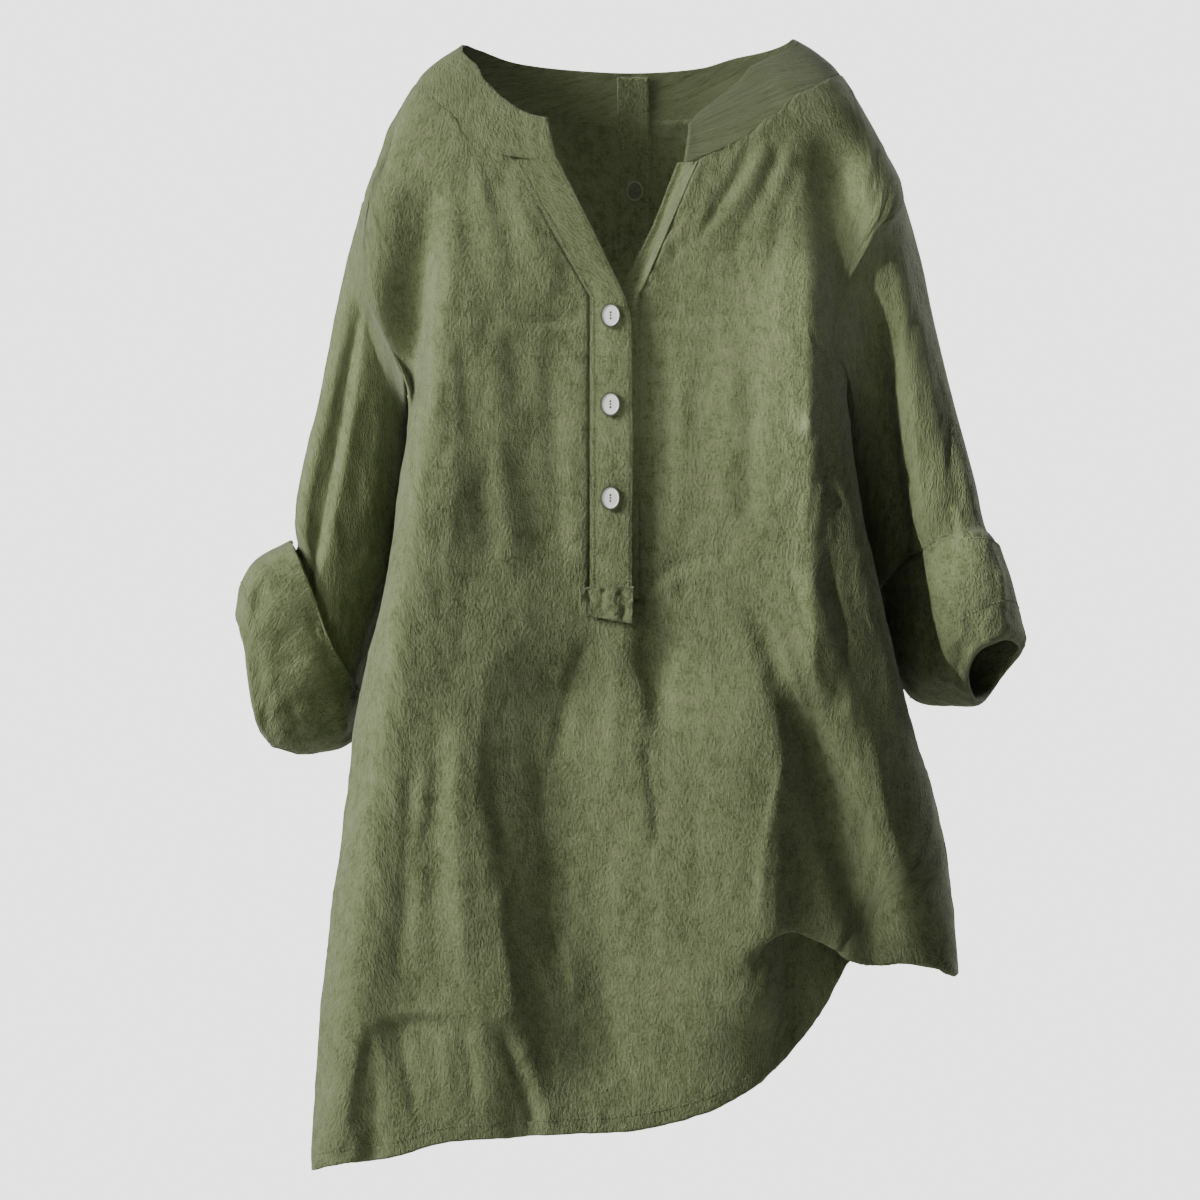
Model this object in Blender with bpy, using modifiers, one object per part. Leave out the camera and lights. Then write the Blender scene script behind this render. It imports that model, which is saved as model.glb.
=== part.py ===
"""A linen popover blouse, filled out with no wearer: a hollow garment of cut and sewn cloth panels.

Metres, +Z up. The front faces -Y and the origin is where the shoulders carry it, between the two shoulder
seams. Left and right are the viewer's, so the left sleeve is at -X. Every panel is a sheet laid on one form,
the body's rings or a sleeve's rings, and given the thickness of its cloth.
"""

import math
from collections import namedtuple

import bmesh
import bpy
import numpy as np
from mathutils import Matrix

COLLECTION = "blouse"

# Cloth and seams
CLOTH = 0.0010  # wall of a single panel
BAND_CLOTH = 0.0014  # wall of the doubled bands
SEAM = 0.0003  # clear gap between two sewn pieces
EDGE_GAP = SEAM + 0.0005  # between the middles of two panels' edges, whose walls lean a little
BAND_GAP = SEAM + 0.0003  # the same where the thicker band meets a panel
STRIP_GAP = SEAM + 0.0008  # and where a front strip turns down beside its seam
GRAIN_COLOUR = (0.135, 0.155, 0.075, 1.0)
BUTTON_COLOUR = (0.80, 0.78, 0.68, 1.0)
CLOTH_ROUGHNESS, BUTTON_ROUGHNESS = 0.92, 0.35

# The body's rings: height, the two side edges, and the depth in front of and behind them
Ring = namedtuple("Ring", "height left right front back")
BODY = (
    Ring(0.0284, -0.1122, 0.1179, 0.027, 0.045),
    Ring(0.0227, -0.1186, 0.1278, 0.031, 0.050),
    Ring(0.0142, -0.1314, 0.1392, 0.038, 0.056),
    Ring(0.0057, -0.1420, 0.1477, 0.045, 0.062),
    Ring(-0.0071, -0.1519, 0.1569, 0.055, 0.069),
    Ring(-0.0284, -0.1647, 0.1697, 0.068, 0.078),
    Ring(-0.0533, -0.1747, 0.1832, 0.077, 0.086),
    Ring(-0.0852, -0.1860, 0.1953, 0.086, 0.091),
    Ring(-0.1200, -0.1898, 0.1890, 0.091, 0.094),
    Ring(-0.1560, -0.1895, 0.1780, 0.094, 0.096),
    Ring(-0.1850, -0.1760, 0.1630, 0.095, 0.097),
    Ring(-0.2150, -0.1570, 0.1545, 0.096, 0.098),
    Ring(-0.2485, -0.1555, 0.1570, 0.096, 0.098),
    Ring(-0.2840, -0.1605, 0.1612, 0.096, 0.098),
    Ring(-0.3550, -0.1704, 0.1761, 0.096, 0.098),
    Ring(-0.4402, -0.1903, 0.1967, 0.098, 0.100),
    Ring(-0.5325, -0.2016, 0.2229, 0.104, 0.106),
    Ring(-0.6213, -0.2137, 0.2343, 0.109, 0.112),
    Ring(-0.7704, -0.2251, 0.2360, 0.114, 0.116),
)

# How square the rings are in front, on both sides of the middle, and behind: 2 is an ellipse
LEFT_SQUARE, RIGHT_SQUARE, BACK_SQUARE = 9.0, 5.0, 2.3

SHOULDER_TIP = -0.0852  # height of the armholes' tops
UNDERARM = -0.2150
ARMHOLE_GAP = 0.0015  # clear of the thickness that meets there at an angle
UNDERARM_GAP = 0.0022  # and of the panel's side, which goes on down beside the sleeve
ARMHOLE_STEPS = 9  # rows of each panel down an armhole, and the sleeve's steps round half of it

# Where the front's armhole seams lie, and the back's, across at each height between the tip and the underarm
Armhole = namedtuple("Armhole", "height left right left_back right_back")
ARMHOLES = (
    Armhole(-0.1050, -0.1850, 0.1790, -0.1780, 0.1840),
    Armhole(-0.1200, -0.1865, 0.1695, -0.1720, 0.1760),
    Armhole(-0.1490, -0.1860, 0.1541, -0.1620, 0.1620),
    Armhole(-0.1775, -0.1745, 0.1448, -0.1520, 0.1520),
    Armhole(-0.1970, -0.1650, 0.1470, -0.1490, 0.1500),
)

# The band collar: its lower seam and its top edge, from the left front end round the back to the right one
Collar = namedtuple("Collar", "side seam_across seam_height edge_across edge_height")
COLLAR = (
    Collar("front", -0.0504, -0.0582, -0.0561, -0.0298),
    Collar("front", -0.0767, -0.0561, -0.0717, -0.0263),
    Collar("front", -0.0980, -0.0504, -0.0873, -0.0163),
    Collar("front", -0.1150, -0.0391, -0.1008, -0.0036),
    Collar("front", -0.1306, -0.0185, -0.1108, 0.0114),
    Collar("left", -0.1491, -0.0021, -0.1164, 0.0241),
    Collar("back", -0.1335, -0.0128, -0.1051, 0.0210),
    Collar("back", -0.0909, -0.0220, -0.0767, 0.0125),
    Collar("back", -0.0412, -0.0262, -0.0341, 0.0080),
    Collar("back", 0.0085, -0.0265, 0.0085, 0.0066),
    Collar("back", 0.0582, -0.0240, 0.0511, 0.0097),
    Collar("back", 0.1079, -0.0160, 0.0866, 0.0185),
    Collar("right", 0.1491, 0.0043, 0.1164, 0.0284),
    Collar("front", 0.1306, -0.0043, 0.0973, 0.0128),
    Collar("front", 0.1093, -0.0192, 0.0781, -0.0036),
    Collar("front", 0.0880, -0.0362, 0.0618, -0.0170),
    Collar("front", 0.0667, -0.0490, 0.0497, -0.0263),
    Collar("front", 0.0391, -0.0600, 0.0426, -0.0341),
)
LEFT_SHOULDER_ROW, RIGHT_SHOULDER_ROW = 5, 12  # the table's rows at the shoulder seams
V_LEFT_ROW, V_RIGHT_ROW = 1.2, 16.6  # and where the V seams leave the collar seam

# The V seams run from the collar's seam to the V's bottom, then straight down beside the slit
V_BOTTOM = -0.1560
PLACKET_END = -0.3690
SLIT_LEFT, SLIT_RIGHT = -0.0270, 0.0074
V_LEFT_TOP = (-0.0824, -0.0582)
V_RIGHT_TOP = (0.0490, -0.0592)

STRIP_RISE = 0.5  # share of a strip's width over which it rises beside its seam
PLACKET_OUT = 0.0024  # how far the overlapping placket stands out over the underlapping one
# The V strips and the placket: height, the edge away from the seam, and how far that edge stands out
Strip = namedtuple("Strip", "height edge edge_out")
OVERLAP = (
    Strip(-0.0590, -0.0500, 0.0000),
    Strip(-0.1065, -0.0260, 0.0010),
    Strip(-0.1560, -0.0025, PLACKET_OUT),
    Strip(-0.1720, 0.0018, PLACKET_OUT),
    Strip(-0.2600, 0.0028, PLACKET_OUT),
    Strip(-0.3682, 0.0022, PLACKET_OUT),
)
UNDERLAP = (
    Strip(-0.0604, 0.0375, -0.0150),
    Strip(-0.1065, 0.0185, -0.0170),
    Strip(-0.1440, -0.0020, -0.0090),
    Strip(-0.1640, -0.0150, -0.0024),
    Strip(-0.2600, -0.0190, -0.0008),
    Strip(-0.3660, -0.0190, -0.0008),
)

# The folded tab over the placket's end
TAB_LEFT, TAB_RIGHT = -0.0335, 0.0012
TAB_TOP, TAB_BOTTOM = -0.3600, -0.3860
TAB_SLANT, TAB_CRUMPLE = 0.0040, 0.0004  # rise of its top from left to right, and its gathers' height
TAB_OUT = PLACKET_OUT + BAND_CLOTH + SEAM + 0.0002

# The front's hem, and how much cloth the tuck at its lower right takes up
Hem = namedtuple("Hem", "across height")
FRONT_HEM = (
    Hem(-0.2251, -0.7704),
    Hem(-0.2110, -0.7670),
    Hem(-0.1619, -0.7590),
    Hem(-0.1335, -0.7505),
    Hem(-0.0909, -0.7468),
    Hem(-0.0483, -0.7440),
    Hem(0.0000, -0.7415),
    Hem(0.0600, -0.7262),
    Hem(0.0959, -0.7070),
    Hem(0.1205, -0.6890),
    Hem(0.1400, -0.6710),
    Hem(0.1530, -0.6540),
    Hem(0.1730, -0.6240),
    Hem(0.1880, -0.6140),
    Hem(0.2340, -0.6160),
)
BACK_HEM = (
    Hem(-0.2251, -0.7560),
    Hem(-0.1600, -0.7440),
    Hem(-0.0500, -0.7300),
    Hem(0.0500, -0.7080),
    Hem(0.1172, -0.6650),
    Hem(0.1633, -0.6150),
    Hem(0.2340, -0.6050),
)
TUCK_LINE = (Hem(0.0500, -0.6120), Hem(0.0916, -0.6050), Hem(0.1150, -0.5990), Hem(0.1363, -0.6070),
             Hem(0.1633, -0.6220), Hem(0.1931, -0.6225), Hem(0.2109, -0.6245), Hem(0.2343, -0.6330))
TUCK_START, TUCK_FULL = 0.062, 0.142  # across, where the tuck begins and where it is full
TUCK_TAKEN = 0.050  # length of cloth it takes up
TUCK_ROLL = 0.035  # length of cloth that turns
TUCK_SET_BACK = 0.014

# The largest folds: a line from top to bottom, its half widths on both sides and its depth inwards
Fold = namedtuple("Fold", "across_top top across_low low left_width right_width depth_top depth_low")
FRONT_FOLDS = (
    Fold(-0.1400, -0.060, -0.1570, -0.215, 0.022, 0.010, 0.006, 0.036),  # behind the rim at the left armhole
    Fold(-0.1320, -0.110, -0.1450, -0.300, 0.012, 0.030, -0.003, -0.008),  # the rim itself
    Fold(-0.1450, -0.270, -0.2000, -0.700, 0.014, 0.026, -0.007, -0.009),
    Fold(0.1380, -0.030, 0.1620, -0.215, 0.014, 0.020, 0.013, 0.026),  # along the right armhole
    Fold(0.0100, -0.100, 0.0140, -0.420, 0.090, 0.060, 0.013, 0.017),  # the dip under the placket
    Fold(0.0035, -0.110, 0.0035, -0.375, 0.024, 0.005, -0.006, -0.006),  # and the placket's own stand
    Fold(0.1240, -0.080, 0.1280, -0.400, 0.045, 0.012, -0.010, -0.014),  # the right chest's fullness
    Fold(-0.1200, -0.420, -0.0850, -0.700, 0.040, 0.018, -0.006, -0.010),
    Fold(-0.0400, -0.380, -0.0190, -0.680, 0.045, 0.040, 0.010, 0.015),
    Fold(0.0960, -0.400, 0.1100, -0.640, 0.050, 0.014, -0.012, -0.015),
    Fold(0.0860, -0.350, 0.1600, -0.575, 0.014, 0.016, 0.006, 0.012),
    Fold(0.1150, -0.330, 0.1920, -0.550, 0.022, 0.014, -0.012, -0.012),
    Fold(0.0240, -0.385, 0.0270, -0.520, 0.012, 0.014, 0.008, 0.004),  # below the placket's end
    Fold(-0.1720, -0.660, -0.1820, -0.780, 0.010, 0.010, 0.003, 0.007),
    Fold(-0.0910, -0.655, -0.0700, -0.770, 0.012, 0.014, 0.003, 0.007),
)
BACK_FOLDS = (
    Fold(-0.1100, -0.120, -0.1300, -0.700, 0.018, 0.022, -0.002, -0.012),
    Fold(-0.0560, -0.080, -0.0520, -0.720, 0.020, 0.022, 0.000, -0.012),
    Fold(0.0060, -0.050, 0.0180, -0.720, 0.016, 0.020, -0.004, 0.009),
    Fold(0.0620, -0.090, 0.0900, -0.690, 0.018, 0.020, 0.000, -0.012),
    Fold(0.1200, -0.140, 0.1550, -0.640, 0.016, 0.022, -0.003, -0.010),
)
FOLD_FADE = 0.22  # share of a fold's length over which it comes and goes
SIDE_FADE = 0.25  # and of a ring's cosine over which folds end beside the side seams
PRESS_MOST = 0.75  # share of the form's own depth that folds may take

# The sleeves' rings: the outer and the inner point of each, half its depth from front to back, and how far
# its front lip leans across and up
Arm = namedtuple("Arm", "outer_x outer_y outer_z inner_x inner_y inner_z depth lean_x lean_z")
LEFT_ARM = (
    Arm(-0.1868, 0.014, -0.0852, -0.1590, 0.014, -0.2150, 0.030, 0.000, 0.000),
    Arm(-0.1981, 0.020, -0.1243, -0.1560, 0.032, -0.2470, 0.044, 0.000, 0.000),
    Arm(-0.2102, 0.023, -0.1775, -0.1560, 0.046, -0.2800, 0.053, 0.000, 0.000),
    Arm(-0.2208, 0.025, -0.2308, -0.1600, 0.050, -0.3150, 0.055, 0.000, 0.000),
    Arm(-0.2329, 0.027, -0.2840, -0.1670, 0.050, -0.3540, 0.053, 0.000, 0.000),
    Arm(-0.2370, 0.028, -0.3130, -0.1760, 0.050, -0.3940, 0.051, -0.003, -0.001),
)
RIGHT_ARM = (
    Arm(0.1953, 0.012, -0.0852, 0.1545, 0.012, -0.2150, 0.050, 0.000, 0.000),
    Arm(0.2073, 0.018, -0.1243, 0.1565, 0.030, -0.2480, 0.053, 0.000, 0.000),
    Arm(0.2194, 0.022, -0.1775, 0.1575, 0.046, -0.2800, 0.055, 0.000, 0.000),
    Arm(0.2322, 0.025, -0.2308, 0.1620, 0.050, -0.3110, 0.055, 0.000, 0.002),
    Arm(0.2464, 0.027, -0.2840, 0.1690, 0.050, -0.3410, 0.053, 0.000, 0.006),
    Arm(0.2540, 0.028, -0.3190, 0.1760, 0.050, -0.3640, 0.050, 0.000, 0.010),
)
# The rolled ends, from the turned-up edge to the fold at the cuff's opening, as the roll's outside shows
LEFT_ROLL = (
    Arm(-0.2407, 0.029, -0.3273, -0.1850, 0.049, -0.4360, 0.056, -0.004, -0.002),
    Arm(-0.2648, 0.031, -0.3408, -0.1960, 0.046, -0.4690, 0.058, -0.004, -0.002),
    Arm(-0.2755, 0.032, -0.3586, -0.2244, 0.043, -0.4793, 0.056, -0.005, -0.003),
    Arm(-0.2790, 0.033, -0.3763, -0.2442, 0.041, -0.4743, 0.052, -0.005, -0.004),
)
RIGHT_ROLL = (
    Arm(0.2655, 0.030, -0.3351, 0.1790, 0.051, -0.3692, 0.055, 0.000, 0.014),
    Arm(0.2733, 0.031, -0.3564, 0.1850, 0.049, -0.4060, 0.057, -0.003, 0.012),
    Arm(0.2780, 0.033, -0.3750, 0.2030, 0.046, -0.4400, 0.055, -0.007, 0.010),
    Arm(0.2820, 0.034, -0.3930, 0.2395, 0.041, -0.4444, 0.048, -0.010, 0.008),
)
# How far the sleeve's own rings lie inside those of the roll: the left roll stands open, the right one closer
LEFT_ROLL_SHRINK = (0.0080, 0.0066, 0.0050, 0.0042)
RIGHT_ROLL_SHRINK = (0.0020, 0.0030, 0.0038, 0.0042)
# What a front lip's lean gains in front over behind, and towards the outer point over the inner one
LIP_BIAS = {"left": (0.0, -1.6), "right": (0.6, 0.0)}
ROLL_LAYERS = 0.0084  # from the roll's outer layer to its inner one
ROLL_FOLD = 0.18  # rings past the last that its fold bulges
ROLL_INNER_ROW = 1.9  # ring at which the inner layer ends, inside the sleeve
SLEEVE_STOP = 0.14  # rings short of the fold
ARMHOLE_BLEND = 1.3  # rings over which a sleeve turns from its armhole's shape into its own

# Buttons
BUTTON_HEIGHTS = {"button_top": -0.1690, "button_middle": -0.2315, "button_bottom": -0.2975}
BUTTON_ACROSS = -0.0121
BUTTON_WIDTH, BUTTON_LENGTH, BUTTON_THICKNESS = 0.0142, 0.0175, 0.0026
BUTTON_HOLE, BUTTON_HOLE_STEP = 0.0017, 0.0042
BUTTON_OUT = PLACKET_OUT + BAND_CLOTH / 2 + SEAM + 0.0002

BUTTON_RIM, BUTTON_SLOPE, BUTTON_DISH = 0.09, 0.05, 0.0008  # shares of its width, then the dish's depth
DISC_SEGMENTS, HOLE_SEGMENTS = 28, 10

# The strip inside the back neck and its own button, in the same cloth's colour
Tongue = namedtuple("Tongue", "height left right")
BACK_STRIP = (
    Tongue(0.0040, -0.0078, 0.0156),
    Tongue(-0.0290, -0.0078, 0.0160),
    Tongue(-0.0480, -0.0052, 0.0168),
    Tongue(-0.0720, -0.0010, 0.0160),
    Tongue(-0.1230, 0.0085, 0.0140),
)
BACK_STRIP_IN = -0.0021
BACK_BUTTON_ACROSS, BACK_BUTTON_HEIGHT = 0.0050, -0.0760
BACK_BUTTON_WIDTH, BACK_BUTTON_LENGTH, BACK_BUTTON_THICKNESS = 0.0118, 0.0142, 0.0024
BACK_BUTTON_IN = BACK_STRIP_IN - CLOTH / 2 - SEAM - 0.0001

# How finely the sheets are divided
LEFT_RIDGE_COLUMNS, LEFT_SEAM_COLUMNS = 4, 7
RIGHT_RIDGE_COLUMNS, RIGHT_SEAM_COLUMNS = 5, 9
BACK_RIDGE_COLUMNS, BACK_SEAM_COLUMNS = 3, 16
SLIT_COLUMNS = 2
SLIT_ROWS = 6  # from the underarm's level to the placket's end
FRONT_ROWS = ((0.0, 0.58, 12), (0.58, 1.0, 22))  # from there to the hem, close where the tuck turns
BACK_ROWS = 17  # from the underarm's level to the hem
STRIP_ROWS = 28
SLEEVE_ROWS, ROLLED_ROWS = 16, 7  # a sleeve's rings above its roll, and inside it
ROLL_ROWS = 6
BACK_STRIP_ROWS, BACK_STRIP_COLUMNS = 16, 4
TAB_ROWS, TAB_COLUMNS = 6, 9
COLLAR_LINES = 4


def curve(knots, values, at):
    """A smooth curve through a table: cubic pieces, with its neighbours' mean slope at each knot."""
    knots, values, at = (np.asarray(a, float) for a in (knots, values, at))
    slopes = np.gradient(values, knots)
    i = np.clip(np.searchsorted(knots, at) - 1, 0, len(knots) - 2)
    step = knots[i + 1] - knots[i]
    t = np.clip((at - knots[i]) / step, -0.5, 1.5)
    return (
        values[i] * (2 * t**3 - 3 * t**2 + 1)
        + slopes[i] * step * (t**3 - 2 * t**2 + t)
        + values[i + 1] * (3 * t**2 - 2 * t**3)
        + slopes[i + 1] * step * (t**3 - t**2)
    )


def ease(t):
    """0 to 1 with level ends."""
    t = np.clip(t, 0.0, 1.0)
    return t * t * (3 - 2 * t)


def column(table, name):
    return np.array([getattr(row, name) for row in table])


def body_ring(height):
    """The ring at a height: its middle, half width, and depths in front and behind."""
    knots = -column(BODY, "height")
    left, right, front, back = (
        curve(knots, column(BODY, n), -height) for n in ("left", "right", "front", "back")
    )
    return (left + right) / 2, (right - left) / 2, front, back


def angle_at(across, height, behind=False):
    """The angle round a ring, 0 at the front's middle, at which it lies at this distance across."""
    middle, half, _, _ = body_ring(height)
    angle = np.arcsin(np.clip((across - middle) / half, -1, 1))
    return np.where(angle < 0, -math.pi - angle, math.pi - angle) if behind else angle


def fold_depth(folds, across, height):
    """How far the folds press the cloth inwards: a soft trough or ridge along each fold's line."""
    depth = np.zeros_like(across)
    for f in folds:
        t = (f.top - height) / (f.top - f.low)
        line = f.across_top + (f.across_low - f.across_top) * t
        width = np.where(across < line, f.left_width, f.right_width)
        there = ease(t / FOLD_FADE) * ease((1 + FOLD_FADE - t) / FOLD_FADE)
        depth += (f.depth_top + (f.depth_low - f.depth_top) * np.clip(t, 0, 1)) * there * np.exp(
            -(((across - line) / width) ** 2)
        )
    return depth


def form(angle, height, out=0.0):
    """The point of the body's form at an angle round it and a height, moved out by a distance."""
    angle, height, out = np.broadcast_arrays(angle, height, out)
    middle, half, front, back = body_ring(height)
    sine, cosine = np.sin(angle), np.cos(angle)
    across = middle + half * sine
    behind = cosine < 0
    square = np.where(behind, BACK_SQUARE, np.where(sine < 0, LEFT_SQUARE, RIGHT_SQUARE))
    reach = np.where(behind, back, front) * np.maximum(1 - np.abs(sine) ** square, 0) ** (1 / square)
    press = np.where(behind, fold_depth(BACK_FOLDS, across, height), fold_depth(FRONT_FOLDS, across, height))
    press = np.minimum(press * ease(np.abs(cosine) / SIDE_FADE), PRESS_MOST * reach)
    deep = (reach - press) * np.where(behind, 1, -1)
    return np.stack([across + out * sine, deep - out * cosine, height + 0 * angle], axis=-1)


def front_form(angle, length, out=0.0):
    """As form(), with the tuck at the lower right: past its line the cloth turns up behind, then down."""
    middle, half, _, _ = body_ring(length)
    across = middle + half * np.sin(angle)
    on_line = np.clip(across, TUCK_LINE[0].across, TUCK_LINE[-1].across)
    line = curve(column(TUCK_LINE, "across"), column(TUCK_LINE, "height"), on_line)
    share = ease((across - TUCK_START) / (TUCK_FULL - TUCK_START))
    turned = ease((line - length) / TUCK_ROLL)
    set_back = TUCK_SET_BACK * share * turned
    return form(angle, length + TUCK_TAKEN * share * turned, out - set_back)


def front_hem(across):
    """The length down the cloth at which the front ends, with what the tuck takes up."""
    height = curve(column(FRONT_HEM, "across"), column(FRONT_HEM, "height"), across)
    return height - TUCK_TAKEN * ease((across - TUCK_START) / (TUCK_FULL - TUCK_START))


def patch_at(top, bottom, left, right, u, v):
    """A grid between four edges of (angle, length) points, at shares across (u) and down (v): the blend of
    the two edges across plus that of the two edges down, less the corners' own blend."""
    corners = (
        (1 - u) * (1 - v) * top[0] + u * (1 - v) * top[-1] + (1 - u) * v * bottom[0] + u * v * bottom[-1]
    )
    return (1 - v) * top[None] + v * bottom[None] + (1 - u) * left[:, None] + u * right[:, None] - corners


def shares(spans):
    """Shares from 0 to 1 in spans of their own spacing."""
    return np.concatenate([np.linspace(a, b, n, endpoint=False) for a, b, n in spans] + [[1.0]])


def armhole_line(which, height):
    """The angles of an armhole seam at some heights, square to the side at its two ends."""
    knots = np.concatenate([[-SHOULDER_TIP], -column(ARMHOLES, "height"), [-UNDERARM]])
    rows = column(ARMHOLES, which)
    middle, half, _, _ = body_ring(-knots[1:-1])
    inner = np.arccos(np.clip(np.abs(rows - middle) / half, 0, 1))
    return np.maximum(curve(knots, np.concatenate([[0.0], inner, [0.0]]), -height), 0)


def armhole_angle(which, height):
    """The signed angle of an armhole seam: left ones are negative, back ones past a quarter turn."""
    off_side = armhole_line(which, height)
    angle = math.pi / 2 + (off_side if which.endswith("back") else -off_side)
    return -angle if which.startswith("left") else angle


def v_seam(side, height):
    """Where a V seam lies across at a height: slanting to the V's bottom, then upright beside the slit."""
    top, slit = (V_LEFT_TOP, SLIT_LEFT) if side == "left" else (V_RIGHT_TOP, SLIT_RIGHT)
    return np.interp(-height, (-top[1], -V_BOTTOM), (top[0], slit))


def collar_rows():
    """The collar's table as angles and heights, seam first, then edge."""
    rows = []
    for c in COLLAR:
        if c.side in ("left", "right"):
            side = -math.pi / 2 if c.side == "left" else math.pi / 2
            rows.append((side, c.seam_height, side, c.edge_height))
            continue
        behind = c.side == "back"
        seam = float(angle_at(c.seam_across, np.float64(c.seam_height), behind))
        edge = float(angle_at(c.edge_across, np.float64(c.edge_height), behind))
        rows.append((seam, c.seam_height, edge, c.edge_height))
    rows = np.array(rows)
    place = np.arange(len(rows))
    for k in (0, 2):  # one turn from the left front, round the back, to the right front
        past_back = (place >= RIGHT_SHOULDER_ROW) | ((place > LEFT_SHOULDER_ROW) & (rows[:, k] > 0))
        rows[past_back, k] -= 2 * math.pi
    return rows


def collar_at(place, share):
    """The collar's (angle, height) at a place along its table and a share of its width from the seam."""
    rows = collar_rows()
    knots = np.arange(len(rows))
    seam_angle, seam_height, edge_angle, edge_height = (curve(knots, rows[:, k], place) for k in range(4))
    angle = seam_angle + (edge_angle - seam_angle) * share
    return np.stack([angle, seam_height + (edge_height - seam_height) * share], -1)


def panel_top(side, row, last_row, ridge_columns, seam_columns):
    """A panel's top: up the shoulder ridge from the armhole's tip, then along the collar seam."""
    quarter = math.copysign(math.pi / 2, side)
    seam = collar_at(np.linspace(row, last_row, seam_columns + 1), 0.0)
    seam += np.array([quarter - seam[0, 0], -BAND_GAP])
    height = np.linspace(SHOULDER_TIP, seam[0, 1], ridge_columns, endpoint=False)
    return np.concatenate([np.stack([np.full(ridge_columns, quarter), height], -1), seam])


def level_edge(from_angle, to_angle, columns):
    """Across a panel at the underarm's height."""
    return np.stack([np.linspace(from_angle, to_angle, columns), np.full(columns, UNDERARM)], -1)


def chart_of(top, level, hem, upper_sides, lower_sides, rows):
    """A panel's (angle, length) grid: one patch down to the underarm's level, another down to the hem."""
    u = np.linspace(0, 1, len(top))[None, :, None]
    upper = patch_at(top, level, *upper_sides, u, np.linspace(0, 1, len(upper_sides[0]))[:, None, None])
    lower = patch_at(level, hem, *lower_sides, u, rows[:, None, None])
    return np.concatenate([upper, lower[1:]])


def armhole_side(which):
    """Down an armhole in even steps of height, from the shoulder's tip to the underarm."""
    height = np.linspace(SHOULDER_TIP, UNDERARM, ARMHOLE_STEPS + 1)
    return np.stack([armhole_angle(which, height), height], -1)


def seam_side(quarter, hem_length, rows):
    """Down a side seam from the underarm to the hem."""
    return np.stack([np.full(len(rows), quarter), UNDERARM + (hem_length - UNDERARM) * rows], -1)


def hem_edge(length_at, from_across, to_across, columns):
    """Along a panel's hem, even steps across."""
    across = np.linspace(from_across, to_across, columns)
    length = length_at(across)
    return np.stack([angle_at(across, length), length], -1)


def grid_mesh(name, points, keep=None, closed=False):
    """A mesh of the grid's quads. A closed grid's columns run all the way round. keep masks its faces."""
    rows, columns = points.shape[:2]
    index = np.arange(rows * columns).reshape(rows, columns)
    right = np.roll(index, -1, axis=1) if closed else index[:, 1:]
    left = index if closed else index[:, :-1]
    quads = np.stack([left[:-1], left[1:], right[1:], right[:-1]], axis=-1)
    quads = quads[keep] if keep is not None else quads.reshape(-1, 4)
    used, quads = np.unique(quads, return_inverse=True)
    mesh = bpy.data.meshes.new(name)
    mesh.from_pydata(points.reshape(-1, 3)[used].tolist(), [], quads.reshape(-1, 4).tolist())
    mesh.validate()
    return mesh


def material(name, colour, roughness):
    made = bpy.data.materials.new(name)
    made.use_nodes = True
    shader = made.node_tree.nodes["Principled BSDF"]
    shader.inputs["Base Color"].default_value = colour
    shader.inputs["Roughness"].default_value = roughness
    shader.inputs["Metallic"].default_value = 0.0
    return made


def add(name, mesh, colour=GRAIN_COLOUR, roughness=CLOTH_ROUGHNESS):
    """Put a mesh in the garment's collection as one named piece with its own material."""
    piece = bpy.data.objects.new(name, mesh)
    mesh.materials.append(material(name + "_finish", colour, roughness))
    bpy.data.collections[COLLECTION].objects.link(piece)
    mesh.shade_smooth()
    return piece


def sheet(name, points, wall=CLOTH, keep=None, closed=False):
    """A cut piece: the sheet of a grid of points, with the thickness of its cloth half on each side."""
    piece = add(name, grid_mesh(name, points, keep, closed))
    solid = piece.modifiers.new("cloth", "SOLIDIFY")
    solid.thickness = wall
    solid.offset = 0.0
    solid.use_even_offset = False
    return piece


def front_rows():
    """Shares of the way from the underarm's level to the hem, with a row at the placket's end."""
    low = front_hem(np.float64((SLIT_LEFT + SLIT_RIGHT) / 2))
    slit_end = (PLACKET_END - UNDERARM) / (low - UNDERARM)
    upper = np.linspace(0, slit_end, SLIT_ROWS, endpoint=False)
    return np.concatenate([upper, slit_end + (1 - slit_end) * shares(FRONT_ROWS)])


def front_half(side, rows):
    """One half's chart: ridge and collar seam, armhole and side seam, V seam and slit line, and hem."""
    if side == "left":
        quarter, v_top, slit, hem_side = -math.pi / 2, V_LEFT_TOP, SLIT_LEFT, FRONT_HEM[0].across
        top = panel_top(-1, LEFT_SHOULDER_ROW, V_LEFT_ROW, LEFT_RIDGE_COLUMNS, LEFT_SEAM_COLUMNS)
    else:
        quarter, v_top, slit, hem_side = math.pi / 2, V_RIGHT_TOP, SLIT_RIGHT, FRONT_HEM[-1].across
        top = panel_top(1, RIGHT_SHOULDER_ROW, V_RIGHT_ROW, RIGHT_RIDGE_COLUMNS, RIGHT_SEAM_COLUMNS)
    hem = hem_edge(front_hem, hem_side, slit, len(top))
    hem[0, 0] = quarter
    top[-1] = angle_at(np.float64(v_top[0]), np.float64(v_top[1])), v_top[1]

    upper_height = np.linspace(v_top[1], UNDERARM, ARMHOLE_STEPS + 1)
    lower_height = UNDERARM + (hem[-1, 1] - UNDERARM) * rows
    centres = [np.stack([angle_at(v_seam(side, h), h), h], -1) for h in (upper_height, lower_height)]
    level = level_edge(quarter, centres[1][0, 0], len(top))
    return chart_of(
        top,
        level,
        hem,
        (armhole_side(side), centres[0]),
        (seam_side(quarter, hem[0, 1], rows), centres[1]),
        rows,
    )


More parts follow.
